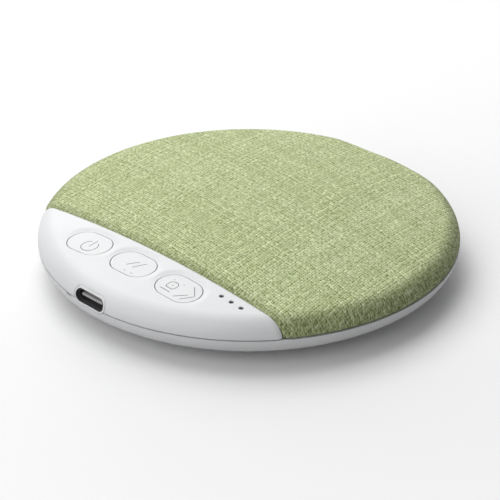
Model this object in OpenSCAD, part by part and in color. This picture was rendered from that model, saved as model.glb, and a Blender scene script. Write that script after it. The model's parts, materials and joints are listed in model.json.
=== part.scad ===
/* [Body] */
// Diameter of the round case at its widest line
body_d = 100; // [96:1:110]
// Height of the fabric crown above the table
top_z = 16.2; // [15.8:0.1:18]
// Height of the parting line between the two shells
parting_z = 8; // [7.8:0.1:8.6]
// Radius of the rounded upper edge
shoulder_r = 4.85; // [4:0.05:5.2]
// Radius of the rounded lower edge
lower_edge_r = 4.5; // [4:0.1:5]
// Height of the flat underside above the table
underside_z = 0.8; // [0.6:0.1:1]
// Wall of the lower shell
lower_wall = 1.6; // [1.2:0.1:1.8]
// Wall of the upper shell
upper_wall = 2.4; // [2.2:0.1:2.6]
// Open groove between the two shells
parting_gap = 0.2; // [0.1:0.05:0.3]
// Width of the locating lip
lip_t = 0.8; // [0.6:0.1:1]
// Thickness of the gussets behind the rim
gusset_t = 1; // [0.8:0.1:1.4]
// Clearance between pieces that seat in each other
seat_gap = 0.1; // [0.05:0.05:0.15]
// Clearance between glued layers
layer_gap = 0.05; // [0.02:0.01:0.08]

/* [Fabric and grille] */
// Distance of the straight fabric border from the centre
border_y = 29.8; // [28.5:0.1:31]
// Thickness of the fabric
fabric_t = 0.5; // [0.4:0.05:0.6]
// Depth of the slot that takes the fabric's straight border
tuck_depth = 1.5; // [1.2:0.1:1.6]
// Thickness of the foam under the fabric
foam_t = 0.8; // [0.6:0.05:0.9]
// Distance of the foam's round edge from the widest line of the case
foam_inset = 6.6; // [6:0.1:8]
// Distance of the foam from the fabric border
foam_set_back = 2; // [1.5:0.1:3]
// Thickness of the perforated plate
grille_t = 0.6; // [0.5:0.05:0.7]
// Diameter of the perforated plate
grille_d = 35.4; // [35:0.1:36]
// Width of the ledge that carries the perforated plate
grille_ledge = 1.4; // [1:0.1:1.5]
// Diameter of one grille hole
grille_hole_d = 1.6; // [1:0.1:1.8]
// Distance between grille holes
grille_pitch = 2.9; // [2.8:0.1:3.4]

/* [Buttons] */
// Length of the straight side of a button
button_flat = 3.8; // [3:0.1:4.4]
// Width of a button, front to back
button_w = 8; // [7:0.1:8.4]
// Distance between neighbouring buttons
button_pitch = 14.9; // [14.5:0.1:15.5]
// Place of the middle button from the case's middle
button_x = -0.4; // [-1:0.1:1]
// Distance of the buttons from the case's centre
button_y = 36.65; // [36:0.05:37]
// Gap around a button
button_gap = 0.15; // [0.1:0.05:0.25]
// Travel of a button
button_travel = 0.3; // [0.2:0.05:0.35]
// Depth of the soft dish around a button
dish_depth = 0.35; // [0.2:0.05:0.5]
// Width of the soft dish around a button
dish_w = 1.3; // [1:0.1:1.5]
// Wall of the panel above a button's flange
panel_t = 1.6; // [1.4:0.1:1.7]
// Thickness of a button's flange
flange_t = 0.7; // [0.6:0.05:0.75]
// Width of a button's flange
flange_w = 0.9; // [0.7:0.1:1]

/* [Lights] */
// Diameter of a light hole in the panel
light_hole_d = 1.1; // [0.8:0.1:1.3]
// Depth of a light pipe's end below the panel
pipe_sink = 0.25; // [0.1:0.05:0.4]
// Distance between light holes
light_pitch = 3.07; // [2.8:0.01:3.3]
// Place of the middle light hole from the case's middle
light_x = 26.9; // [26:0.1:27.5]
// Distance of the light holes from the case's centre
light_y = 32.45; // [32.3:0.05:33.2]

/* [Charging port] */
// Place of the port from the case's middle
port_x = -1.2; // [-3:0.1:3]
// Width of the port's opening
port_w = 9.4; // [9.2:0.05:9.8]
// Height of the port's opening
port_h = 3.05; // [2.9:0.05:3.3]
// Width of the collar around the opening
collar_w = 0.5; // [0.4:0.05:0.6]
// Thickness of the wall in front of the socket
port_wall = 0.9; // [0.7:0.05:1.1]
// Width of the socket's metal shell
socket_w = 8.94; // [8.8:0.02:9.04]
// Height of the socket's metal shell
socket_h = 3.16; // [3.06:0.02:3.2]
// Length of the socket's metal shell
socket_l = 7; // [6.5:0.1:7.2]
// Width of the small pry notch in the groove
notch_w = 1.7; // [1.2:0.1:2.2]
// Height of the pry notch
notch_h = 0.5; // [0.3:0.05:0.6]
// Distance of the pry notch from the middle of the port
notch_x = 7.35; // [7.2:0.05:8]

/* [Circuit board] */
// Height of the board's upper face above the table
board_z = 7.7; // [7.5:0.05:7.8]
// Thickness of the board
board_t = 1; // [0.8:0.1:1.2]
// Half length of the board's straight back edge
board_half_w = 32; // [30:0.5:33]
// Distance of the board's back edge from the centre
board_back_y = 23; // [22.6:0.1:24]
// Gap between the board's round front edge and the locating lip
board_gap = 0.45; // [0.3:0.05:1.5]
// Height of a switch's housing
switch_h = 2; // [1.8:0.1:2.1]
// Side of a switch's housing
switch_w = 4; // [3.5:0.1:4.5]
// Diameter of a switch's plunger
plunger_d = 1.6; // [1.2:0.1:1.8]
// Height of a plunger above its housing
plunger_h = 0.8; // [0.7:0.05:0.9]

/* [Battery] */
// Length of the battery
battery_l = 34; // [30:0.5:35]
// Width of the battery
battery_w = 15; // [13:0.5:15.5]
// Thickness of the battery
battery_t = 5.6; // [4.5:0.1:6]
// Distance of the battery's near side from the centre
battery_y = 24; // [23.8:0.1:24.4]
// Thickness of the battery's adhesive pad
pad_t = 0.3; // [0.2:0.05:0.4]

/* [Loudspeaker] */
// Width of the loudspeaker's flange beyond the perforated plate
flange_beyond = 1.3; // [1:0.1:1.8]
// Distance of the loudspeaker's axis from the case's centre
driver_y = 3; // [2:0.1:3.2]
// Depth of the loudspeaker below its flange
driver_depth = 8.4; // [8:0.1:8.6]
// Diameter of the magnet cup
yoke_d = 18.4; // [17.6:0.1:18.8]
// Wall of the magnet cup
yoke_wall = 1.9; // [1.7:0.1:2]
// Diameter of the magnet
magnet_d = 10.6; // [9.5:0.1:11]
// Thickness of the magnet
magnet_t = 2; // [1.8:0.1:2.2]
// Thickness of the plate on the magnet
pole_t = 1; // [0.8:0.1:1.2]
// Diameter of the voice coil's former
coil_d = 12.8; // [12.7:0.05:13]
// Travel of the cone each way
cone_travel = 0.8; // [0.5:0.1:0.8]
// Height of the mounting ring under the deck
ring_h = 1; // [0.8:0.1:1.2]
// Thickness of the gasket on the flange
gasket_t = 0.5; // [0.4:0.05:0.6]

/* [Screws and feet] */
// Place of the case screws from the middle, sideways
case_screw_x = 24.5; // [24:0.1:25.5]
// Place of the case screws from the middle, front to back
case_screw_y = 19; // [18.5:0.1:19.3]
// Diameter of a case screw's thread
case_screw_d = 2; // [1.8:0.1:2.2]
// Diameter of a small screw's thread
small_screw_d = 1.4; // [1.2:0.1:1.6]
// Diameter of a rubber foot
foot_d = 8; // [7:0.1:8.4]
// Thickness of a rubber foot
foot_t = 1.6; // [1.5:0.1:1.7]

/* [Hidden] */
$fn = 64;

// Facets of the case's skins, of small holes and of tiny ones
skin_fn = 96;
small_fn = 32;
tiny_fn = 24;
crown_steps = 12;
edge_steps = 8;
belly_steps = 8;
cut = 0.5;
case_r = body_d / 2;
half_gap = parting_gap / 2;

// The layout in plan spreads with the case: the sizes above are those in a case 100 mm across
spread = body_d / 100;
border = border_y * spread;
foam_edge = case_r - foam_inset;
flat_l = button_flat * spread;
buttons_y = button_y * spread;
light_step = light_pitch * spread;
lights_x = light_x * spread;
lights_y = light_y * spread;
board_half = board_half_w * spread;
board_back = board_back_y * spread;
cell_l = battery_l * spread;
cell_w = battery_w * spread;
cell_y = battery_y * spread;
speaker_y = driver_y * spread;
plate_d = grille_d * spread;
magnet_w = magnet_d * spread;

// Crown: a sphere that runs tangent into the rounded shoulder
shoulder_c = case_r - shoulder_r;
rise = top_z - parting_z;
crown_r = (shoulder_c * shoulder_c + rise * rise - shoulder_r * shoulder_r)
  / (2 * (rise - shoulder_r));
crown_c = top_z - crown_r;
crown_a = atan2(parting_z - crown_c, shoulder_c);

// Lower shell: a tight round edge that runs tangent into a wide belly arc
edge_turn = 60;
lower_c = case_r - lower_edge_r;
edge_end_r = lower_c + lower_edge_r * cos(edge_turn);
edge_end_z = parting_z - lower_edge_r * sin(edge_turn);
belly_r = (edge_end_z - underside_z) / (1 - sin(edge_turn));
belly_c = underside_z + belly_r;
flat_r = edge_end_r - belly_r * cos(edge_turn);
floor_z = underside_z + lower_wall;

// Heights of the upper surface and of the inside of the belly at a radius
function crown_z(r, inset = 0) = r <= (crown_r - inset) * cos(crown_a)
  ? crown_c + sqrt(pow(crown_r - inset, 2) - r * r)
  : parting_z + sqrt(pow(shoulder_r - inset, 2) - pow(r - shoulder_c, 2));
function belly_z(r, inset = 0) = r <= flat_r ? underside_z + inset
  : belly_c - sqrt(pow(belly_r - inset, 2) - pow(r - flat_r, 2));
function arc(c, r, a0, a1, n, first = 0) =
  [for (i = [first:n]) let (a = a0 + (a1 - a0) * i / n) [c[0] + r * cos(a), c[1] + r * sin(a)]];
function upper_line(inset, low) = concat(
  arc([0, crown_c], crown_r - inset, 90, crown_a, crown_steps),
  arc([shoulder_c, parting_z], shoulder_r - inset, crown_a,
    asin((low - parting_z) / (shoulder_r - inset)), edge_steps, 1));
function lower_line(inset, high) = concat(
  arc([lower_c, parting_z], lower_edge_r - inset,
    asin((high - parting_z) / (lower_edge_r - inset)), -edge_turn, edge_steps),
  arc([flat_r, belly_c], belly_r - inset, -edge_turn, -90, belly_steps, 1));

// Buttons
button_r = button_w * spread / 2;
button_xs = [for (i = [-1:1]) (button_x + i * button_pitch) * spread];
far_button = max([for (x = button_xs) norm([x, buttons_y])]);
pocket_z = crown_z(far_button) - panel_t;
flange_top = pocket_z - seat_gap;
flange_low = flange_top - flange_t;
plunger_top = board_z + switch_h + plunger_h;
stem_d = 3;

// Light shield
shield_w = 2 * light_step + 3.2;
shield_d = 3.4;
shield_round = 1;

// Loudspeaker
driver_r = plate_d / 2 + flange_beyond;
standard_driver_r = 19;
driver_share = driver_r / standard_driver_r;
ring_z = crown_z(speaker_y + driver_r, upper_wall) - ring_h;
lip_film = 0.3;
flange_z = ring_z - gasket_t - lip_film;
basket_t = 0.8;
yoke_r = yoke_d * spread / 2;
yoke_low = flange_z - driver_depth;
yoke_top = yoke_low + 4;
yoke_floor = yoke_low + 1;
pole_top = yoke_floor + magnet_t + pole_t;
coil_r = coil_d * spread / 2;
former_t = 0.15;
winding_t = 0.4;
cone_neck = 1.9;
roll_r = 1;
roll_mid = plate_d / 2 - grille_ledge - roll_r - 0.1;
cone_r = roll_mid - roll_r - 0.1;
spider_z = flange_z - 2.6;
spider_edge = 12.9 * driver_share;
ear_r = driver_r + 1.8;
ear_d = 4.4;
driver_angles = [45, 135, 225, 315];

// Charging port
port_z = board_z + socket_h / 2;
socket_front = sqrt(pow(case_r - port_wall, 2) - pow(port_w / 2, 2));
collar_depth = 3.2;

// Seats of the battery, the screws and the board
battery_far = norm([cell_l / 2, cell_y + cell_w]);
battery_rest = belly_z(battery_far, lower_wall) + 0.15;
battery_z = battery_rest + pad_t;
case_screws_at = [for (x = [-1, 1], y = [-1, 1]) [x * case_screw_x, y * case_screw_y] * spread];
boss_top = 7;
screw_head_z = 2.2;
screw_head_h = 1.3;
case_head_d = case_screw_d * 1.9;
case_boss_d = case_head_d + 2.4;
small_head_d = small_screw_d * 1.9;
small_head_h = 0.8;
lip_r = case_r - upper_wall - 0.15;
drive_w = 0.3;
lip_low = parting_z - 2.4;
lip_top = parting_z + 0.55;
board_r = lip_r - lip_t - board_gap;
board_screws_at = [[-28.5, -31.4] * spread, [29.2, -28.6] * spread,
  [port_x - socket_w / 2 - 2.33, -board_r + 3.7], [11, -41.5] * spread];
rail_x = [-cell_l / 3, cell_l / 3];

// Sockets and plugs of the two leads, by the middle of the socket
connector_w = 4.6;
connector_d = 3;
connector_h = 2.6;
plug_w = 3.4;
plug_d = 3;
battery_socket_at = [24, -26.2] * spread;
speaker_socket_at = [-24, -26.2] * spread;
plug_gap = 0.05;
wire_d = 0.8;
wire_gap = 1.3;
// Points of a lead, with the plan spread like the case
function spread_out(points) = [for (p = points) [p[0] * spread, p[1] * spread, p[2]]];
lead_end = connector_d / 2 + 0.55;
lead_z = board_z + connector_h / 2;
battery_lead_route = concat(
  [[cell_l / 2 + 0.85, cell_y + 6, 6.4], [cell_l / 2 + 2.5, cell_y + 6, 6.4],
    [cell_l / 2 + 6, cell_y + 6.2, 5.6], [cell_l / 2 + 10, cell_y + 5.4, 5.2]],
  spread_out([[31, 26.6, 5.2], [34.4, 21.6, 5.2], [36.8, 15, 5.2], [38, 7, 5.2],
    [38, -1, 5.4], [36.8, -9, 5.8], [34.8, -15.4, 6.6], [33, -20, 7.8],
    [31.6, -23.6, 8.8], [29.6, -25.7, 9], [27.6, -26.2, 9]]),
  [[battery_socket_at[0] + lead_end, battery_socket_at[1], lead_z]]);
speaker_lead_route = concat(
  [[-driver_r - 1.15, speaker_y, flange_z - 1.6], [-driver_r - 3, speaker_y, flange_z - 1.6],
    [-driver_r - 6.4, speaker_y - 1.4, 8.6]],
  spread_out([[-28.4, -2.4, 7.6], [-30.8, -8, 7.2], [-32.2, -14, 7.4],
    [-32.4, -20, 8.2], [-31.4, -23.8, 8.9], [-29.5, -25.7, 9], [-27.6, -26.2, 9]]),
  [[speaker_socket_at[0] - lead_end, speaker_socket_at[1], lead_z]]);

// Plain shapes

// A round body below a skin that lies a given depth under the upper surface
module upper_solid(inset, low) {
  rotate_extrude($fn = skin_fn) polygon(concat([[0, low]], upper_line(inset, low)));
}

// A round body above a skin that lies a given depth inside the lower surface
module lower_solid(inset, high) {
  rotate_extrude($fn = skin_fn)
    polygon(concat([[0, high]], lower_line(inset, high), [[0, underside_z + inset]]));
}

module ring(r_out, r_in, low, high) {
  translate([0, 0, low]) difference() {
    cylinder(h = high - low, r = r_out);
    translate([0, 0, -cut]) cylinder(h = high - low + 2 * cut, r = r_in);
  }
}

// A plate with round ends, lying in the XY plane and centred
module stadium(flat, r, h) {
  translate([-flat / 2, -r, 0]) cube([flat, 2 * r, h]);
  for (x = [-1, 1]) translate([x * flat / 2, 0, 0]) cylinder(h = h, r = r);
}

// The same outline with a sloping side
module sloped_stadium(flat, r_low, r_high, h) {
  rotate([90, 0, 90]) translate([0, 0, -flat / 2]) linear_extrude(flat)
    polygon([[-r_low, 0], [r_low, 0], [r_high, h], [-r_high, h]]);
  for (x = [-1, 1]) translate([x * flat / 2, 0, 0]) cylinder(h = h, r1 = r_low, r2 = r_high);
}

// A stadium bar that runs along Y, by its outer width and height
module stadium_bar(w, h, l) {
  rotate([-90, 0, 0]) stadium(w - h, h / 2, l);
}

module rounded_rect(w, d, r) {
  square([w - 2 * r, d], center = true);
  square([w, d - 2 * r], center = true);
  for (x = [-1, 1], y = [-1, 1]) translate([x * (w / 2 - r), y * (d / 2 - r)]) circle(r);
}

// Everything behind the straight border of the fabric, less a margin
module behind_border(margin, low = 0) {
  translate([-case_r - 1, -border + margin, low])
    cube([2 * case_r + 2, case_r + border - margin + 1, top_z + 2 - low]);
}

// A round lead along a list of points
module lead(route, d) {
  sides = 8;
  last = len(route) - 1;
  dirs = [for (i = [0:last]) let (v = route[min(i + 1, last)] - route[max(i - 1, 0)]) v / norm(v)];
  points = [for (i = [0:last])
    let (side = cross(dirs[i], [0, 0, 1]), s = side / norm(side), u = cross(s, dirs[i]))
      for (k = [0:sides - 1]) let (a = 360 * k / sides) route[i] + d / 2 * (cos(a) * s + sin(a) * u)];
  faces = concat(
    [[for (k = [0:sides - 1]) k]],
    [[for (k = [0:sides - 1]) last * sides + sides - 1 - k]],
    [for (i = [0:last - 1], k = [0:sides - 1]) let (a = i * sides + k, b = i * sides + (k + 1) % sides)
      [a, a + sides, b + sides, b]]);
  polyhedron(points, faces, convexity = 4);
}

// The same route moved sideways, in the plane of the table
function beside(route, off) = let (last = len(route) - 1) [for (i = [0:last])
  let (v = route[min(i + 1, last)] - route[max(i - 1, 0)], n = norm([v[0], v[1]]))
    route[i] + off / n * [v[1], -v[0], 0]];

module pan_screw(thread_d, head_d, head_h, length) {
  cylinder(h = length, d = thread_d, $fn = tiny_fn);
  translate([0, 0, -head_h]) difference() {
    cylinder(h = head_h, d = head_d, $fn = small_fn);
    for (a = [0, 90]) rotate(a) translate([-head_d / 4, -drive_w / 2, -cut])
      cube([head_d / 2, drive_w, cut + head_h / 2]);
  }
}

// Case

module port_bar(grow, y0, y1) {
  translate([port_x, y0, port_z])
    stadium_bar(port_w + 2 * grow, port_h + 2 * grow, y1 - y0);
}

module lower_shell() {
  color("darkgray") difference() {
    union() {
      difference() {
        lower_solid(0, parting_z - half_gap);
        lower_solid(lower_wall, parting_z - half_gap + 0.001);
      }
      // Locating lip and the step that carries it
      rotate_extrude($fn = skin_fn) polygon([
        [lip_r - lip_t, lip_low], [lip_r + 1, lip_low], [lip_r + 1, parting_z - 0.6],
        [lip_r, parting_z - 0.6], [lip_r, lip_top], [lip_r - lip_t, lip_top]]);
      // Gussets from the floor to the rim
      intersection() {
        lower_solid(lower_wall / 2, lip_low + 0.4);
        for (a = [15:30:345]) rotate(a) difference() {
          translate([flat_r + 6, -gusset_t / 2, 0]) cube([lip_r - flat_r - 6.3, gusset_t, lip_low + 0.4]);
          translate([flat_r + 5, -1, lip_low + 0.4]) rotate([0, 40, 0]) translate([-6, 0, -6])
            cube([6, 2, 12]);
        }
      }
      // Bosses for the case screws
      for (p = case_screws_at) translate([p[0], p[1], underside_z + 0.2])
        cylinder(h = boss_top - underside_z - 0.2, d = case_boss_d);
      for (p = board_screws_at) translate([p[0], p[1], belly_z(norm(p), lower_wall / 2)])
        cylinder(h = board_z - board_t - belly_z(norm(p), lower_wall / 2), d = small_screw_d + 2);
      // Seat under the magnet cup
      translate([0, speaker_y, 0])
        ring(yoke_r - 1, yoke_r - 2.4, floor_z - 0.2, yoke_low - seat_gap);
      for (a = [0:60:300]) translate([0, speaker_y, 0]) rotate(a)
        translate([yoke_r + 0.4, -0.4, floor_z - 0.2]) cube([6, 0.8, 1.4]);
      // Cradle of the battery: two rails below it and a guide at each corner
      for (x = rail_x) translate([x - 0.6, cell_y, floor_z - 0.2])
        cube([1.2, cell_w, battery_rest - floor_z + 0.2]);
      for (x = [-1, 1]) {
        translate([x * (cell_l / 2 - 5), cell_y - seat_gap - 0.5, 0])
          battery_guide(floor_z - 0.2);
        translate([x * (cell_l / 2 - 5), cell_y + cell_w + seat_gap + 0.5, 0])
          battery_guide(belly_z(cell_y + cell_w, lower_wall / 2));
      }
    }
    for (p = case_screws_at) translate([p[0], p[1], 0]) {
      translate([0, 0, -cut]) cylinder(h = foot_t + cut, d = foot_d + 2 * seat_gap);
      cylinder(h = screw_head_z + screw_head_h, d = case_head_d + 0.4);
      cylinder(h = boss_top + cut, d = case_screw_d + 0.3);
    }
    for (p = board_screws_at) translate([p[0], p[1], board_z - board_t - 2.6])
      cylinder(h = 4, d = small_screw_d + 0.1);
    // Way for the collar of the port and for the socket behind it
    port_bar(collar_w + seat_gap, -case_r - 1, -case_r + 5);
    translate([port_x - socket_w / 2 - 1, -case_r + 1.8, board_z - board_t - 0.6])
      cube([socket_w + 2, 6, 5]);
    translate([port_x - notch_x - notch_w / 2, -case_r - 1, parting_z - half_gap - notch_h])
      cube([notch_w, 2, notch_h + cut]);
  }
}

module battery_guide(low) {
  translate([-2.5, -0.5, low]) cube([5, 1, battery_z + 2.6 - low]);
}

module button_cut(x) {
  z = crown_z(norm([x, buttons_y]));
  translate([x, -buttons_y, pocket_z - 4]) stadium(flat_l, button_r + button_gap, 8);
  translate([x, -buttons_y, pocket_z - 4])
    stadium(flat_l, button_r + flange_w + seat_gap + 0.1, 4);
  // Soft dish, turned to lie square to the crown
  translate([x, -buttons_y, z - dish_depth]) rotate([asin(buttons_y / crown_r), asin(x / crown_r), 0])
    sloped_stadium(flat_l, button_r + button_gap, button_r + button_gap + dish_w * 3, dish_depth * 3);
}

module top_housing() {
  low = parting_z + half_gap;
  color("whitesmoke") union() {
    difference() {
      union() {
        difference() {
          upper_solid(0, low);
          upper_solid(upper_wall, low - 0.001);
        }
        // Deck ring over the loudspeaker, with its flat face down
        intersection() {
          translate([0, speaker_y, ring_z]) cylinder(h = 6, r = driver_r + 0.4);
          upper_solid(upper_wall - 0.2, low);
        }
        for (a = driver_angles) intersection() {
          translate([0, speaker_y, 0]) rotate(a) translate([ear_r, 0, flange_z]) cylinder(h = 8, d = ear_d);
          upper_solid(upper_wall - 0.2, low);
        }
        for (p = case_screws_at) intersection() {
          translate([p[0], p[1], boss_top + seat_gap]) cylinder(h = 9, d = case_boss_d - 0.6);
          upper_solid(upper_wall - 0.2, boss_top);
        }
        // Collar of the charging port
        intersection() {
          difference() {
            port_bar(collar_w, -case_r - 1, -case_r + collar_depth);
            translate([port_x - port_w, -case_r + collar_depth - 1, -5]) cube([2 * port_w, 4, 9]);
          }
          union() {
            upper_solid(0, low);
            translate([0, 0, low - port_h]) cylinder(h = port_h, r = case_r - 0.1, $fn = skin_fn);
          }
        }
      }
      // Recess for the fabric, the foam and the plate
      difference() {
        behind_border(0);
        upper_solid(fabric_t + layer_gap, parting_z - 1);
      }
      difference() {
        translate([0, 0, low - cut]) ring(case_r + 1, case_r - upper_wall - cut, 0, fabric_t + cut);
        translate([-case_r - 1, -case_r - 1, 0]) cube([2 * case_r + 2, case_r + 1 - border, 20]);
      }
      difference() {
        translate([-case_r, -border, parting_z]) cube([2 * case_r, fabric_t + 2 * layer_gap, top_z]);
        upper_solid(tuck_depth, parting_z - 1);
      }
      difference() {
        intersection() {
          cylinder(h = top_z + 1, r = foam_edge + layer_gap);
          behind_border(foam_set_back - layer_gap, parting_z);
        }
        upper_solid(fabric_t + foam_t + 2 * layer_gap, parting_z);
      }
      difference() {
        translate([0, speaker_y, parting_z]) cylinder(h = 9, d = plate_d + 2 * seat_gap);
        upper_solid(fabric_t + foam_t + grille_t + 4 * layer_gap, parting_z);
      }
      translate([0, speaker_y, parting_z]) cylinder(h = 9, d = plate_d - 2 * grille_ledge);
      for (x = button_xs) button_cut(x);
      for (i = [-1:1]) translate([lights_x + i * light_step, -lights_y, parting_z])
        cylinder(h = 9, d = light_hole_d, $fn = small_fn);
      // Opening of the port and the pocket for its socket
      port_bar(0, -case_r - 1, -case_r + 5);
      translate([port_x, -socket_front, port_z])
        stadium_bar(socket_w + 2 * seat_gap, socket_h + 2 * seat_gap, socket_l + 0.5);
      for (p = case_screws_at) translate([p[0], p[1], boss_top - cut])
        cylinder(h = crown_z(norm(p), upper_wall) - boss_top - 0.2 + cut, d = case_screw_d + 0.05,
          $fn = small_fn);
      for (a = driver_angles) translate([0, speaker_y, 0]) rotate(a) translate([ear_r, 0, flange_z - cut])
        cylinder(h = 2 + cut, d = small_screw_d + 0.05, $fn = tiny_fn);
    }
  }
}

module fabric_cover() {
  low = parting_z + half_gap;
  color("darkkhaki") {
    intersection() {
      difference() {
        upper_solid(0, low);
        upper_solid(fabric_t, low - 0.001);
      }
      behind_border(layer_gap);
    }
    // Straight border, tucked into its slot
    intersection() {
      translate([-case_r, -border + layer_gap, low])
        cube([2 * case_r, fabric_t - layer_gap, top_z]);
      difference() {
        upper_solid(fabric_t / 2, low);
        upper_solid(tuck_depth - layer_gap, low - 0.001);
      }
    }
    // Hem, turned in under the skirt
    intersection() {
      ring(case_r - fabric_t / 2, case_r - upper_wall + 0.3, low, low + fabric_t - layer_gap);
      behind_border(layer_gap);
    }
  }
}

module foam_pad() {
  color("dimgray") intersection() {
    difference() {
      upper_solid(fabric_t + layer_gap, parting_z);
      upper_solid(fabric_t + foam_t + layer_gap, parting_z - 0.001);
    }
    behind_border(foam_set_back, parting_z);
    cylinder(h = top_z + 1, r = foam_edge);
  }
}

module grille_plate() {
  top = fabric_t + foam_t + 3 * layer_gap;
  reach = plate_d / 2 - grille_ledge - grille_hole_d / 2 - 0.1;
  n = ceil(reach / grille_pitch);
  row = grille_pitch * sin(60);
  color("gray") difference() {
    intersection() {
      difference() {
        upper_solid(top, parting_z);
        upper_solid(top + grille_t, parting_z - 0.001);
      }
      translate([0, speaker_y, parting_z]) cylinder(h = 9, d = plate_d);
    }
    for (j = [-n - 1:n + 1], i = [-n - 1:n + 1])
      let (x = (i + (j % 2 == 0 ? 0 : 0.5)) * grille_pitch, y = j * row)
        if (norm([x, y]) <= reach) translate([x, speaker_y + y, parting_z + 3])
          cylinder(h = 7, d = grille_hole_d, $fn = tiny_fn);
  }
}

// Buttons, switches and lights

module button(i) {
  x = button_xs[i];
  color("whitesmoke") {
    intersection() {
      translate([x, -buttons_y, flange_low]) stadium(flat_l, button_r, 8);
      upper_solid(0.1, parting_z);
    }
    translate([x, -buttons_y, flange_low]) stadium(flat_l, button_r + flange_w, flange_t);
    translate([x, -buttons_y, plunger_top]) cylinder(h = flange_low - plunger_top + 0.1, d = stem_d);
  }
}

module button_left() { button(0); }
module button_middle() { button(1); }
module button_right() { button(2); }

module plunger(i) {
  color("black") translate([button_xs[i], -buttons_y, plunger_top - plunger_h - 0.6])
    cylinder(h = plunger_h + 0.6, d = plunger_d, $fn = small_fn);
}

module plunger_left() { plunger(0); }
module plunger_middle() { plunger(1); }
module plunger_right() { plunger(2); }

module switch_housing(i) {
  color("silver") translate([button_xs[i], -buttons_y, board_z]) difference() {
    linear_extrude(switch_h) rounded_rect(switch_w, switch_w, 0.4);
    translate([0, 0, switch_h - 0.6 - button_travel - 0.1])
      cylinder(h = 3, d = plunger_d + 0.2, $fn = small_fn);
  }
}

module switch_left() { switch_housing(0); }
module switch_middle() { switch_housing(1); }
module switch_right() { switch_housing(2); }

// Height at which the light shield just clears the panel at its far corner
function shield_top() = crown_z(
  norm([lights_x + shield_w / 2 - shield_round, lights_y + shield_d / 2 - shield_round]) + shield_round,
  upper_wall) - layer_gap;

module light_shield() {
  color("black") translate([lights_x, -lights_y, 0]) difference() {
    translate([0, 0, board_z]) linear_extrude(shield_top() - board_z)
      rounded_rect(shield_w, shield_d, shield_round);
    for (i = [-1:1]) translate([i * light_step, 0, board_z]) {
      cylinder(h = 6, d = light_hole_d + 0.4, $fn = small_fn);
      translate([-1, -0.7, -cut]) cube([2, 1.4, 0.9 + cut]);
    }
  }
}

// Clear rods from the lights to the panel, each with a collar that sits in the shield
module light_pipes() {
  low = board_z + 0.75;
  collar_top = shield_top() - 0.3;
  color("gray") for (i = [-1:1])
    let (x = lights_x + i * light_step, top = crown_z(norm([x, lights_y])) - pipe_sink)
    translate([x, -lights_y, low]) {
      cylinder(h = collar_top - low, d = light_hole_d + 0.3, $fn = small_fn);
      cylinder(h = top - low, d = light_hole_d - 0.1, $fn = small_fn);
    }
}

module status_lights() {
  color("lightyellow") for (i = [-1:1]) translate([lights_x + i * light_step, -lights_y, board_z]) {
    translate([-0.8, -0.4, 0]) cube([1.6, 0.8, 0.3]);
    translate([0, 0, 0.3]) cylinder(h = 0.35, d = 0.7, $fn = tiny_fn);
  }
}

// Charging socket

module usb_shell() {
  wall = 0.3;
  color("silver") translate([port_x, -socket_front + seat_gap, port_z]) difference() {
    stadium_bar(socket_w, socket_h, socket_l);
    translate([0, -cut, 0]) stadium_bar(socket_w - 2 * wall, socket_h - 2 * wall, socket_l + 2 * cut);
  }
}

module usb_tongue() {
  wall = 0.32;
  base_l = 1.8;
  color("dimgray") translate([port_x, -socket_front + seat_gap, port_z]) {
    translate([0, socket_l - base_l, 0])
      stadium_bar(socket_w - 2 * wall, socket_h - 2 * wall, base_l);
    translate([-3.35, 1, -0.35]) cube([6.7, socket_l - base_l - 0.9, 0.7]);
    for (x = [-2.75:0.5:2.75]) translate([x - 0.13, 1.3, 0.3]) cube([0.26, 3.4, 0.1]);
  }
}

// Circuit board

module main_board() {
  color("darkgreen") difference() {
    translate([0, 0, board_z - board_t]) linear_extrude(board_t) intersection() {
      circle(board_r, $fn = skin_fn);
      translate([-board_half, -board_r - 1]) square([2 * board_half, board_r + 1 - board_back]);
    }
    for (p = board_screws_at) translate([p[0], p[1], board_z - board_t - cut])
      cylinder(h = board_t + 2 * cut, d = small_screw_d + 0.2, $fn = small_fn);
  }
}

// A flat package with a small dot that marks its first pin
module chip(at, w, d, h) {
  size = [w, d] * spread;
  color("black") translate([at[0] * spread, at[1] * spread, board_z]) difference() {
    translate([-size[0] / 2, -size[1] / 2, 0]) cube([size[0], size[1], h]);
    translate([-size[0] / 2 + 0.7, size[1] / 2 - 0.7, h - 0.1]) cylinder(h = 1, d = 0.5, $fn = tiny_fn);
  }
}

module controller_chip() { chip([-12, -26.4], 7, 6, 0.9); }
module amplifier_chip() { chip([9, -26.6], 5, 5, 0.8); }
module charging_chip() { chip([7.4, -35.9], 3, 3, 0.8); }

module power_inductor() {
  side = 4 * spread;
  color("gray") translate([19 * spread, -32.5 * spread, board_z]) {
    linear_extrude(0.4) rounded_rect(side, side, side / 8);
    translate([0, 0, 0.3]) cylinder(h = 1.1, d = 0.65 * side, $fn = small_fn);
    translate([0, 0, 1.3]) cylinder(h = 0.5, d = 0.95 * side, $fn = small_fn);
  }
}

module timing_crystal() {
  color("silver") translate([-22 * spread, -34.3 * spread, board_z]) linear_extrude(0.7)
    rounded_rect(3.2 * spread, 2.5 * spread, 0.4 * spread);
}

module capacitors() {
  step = 2.2;
  stagger = 0.4;
  places = concat([for (i = [0:3]) [4.5 + i * step, -31.2 + (i % 2) * stagger]],
    [for (i = [0:3]) [-17.5 + i * step, -30.7]], [[4.5, -42.2]]);
  size = [1, 1.8] * spread;
  color("tan") for (p = places) translate([p[0] * spread, p[1] * spread, board_z])
    translate([-size[0] / 2, -size[1] / 2, 0]) cube([size[0], size[1], 0.8]);
}

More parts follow.
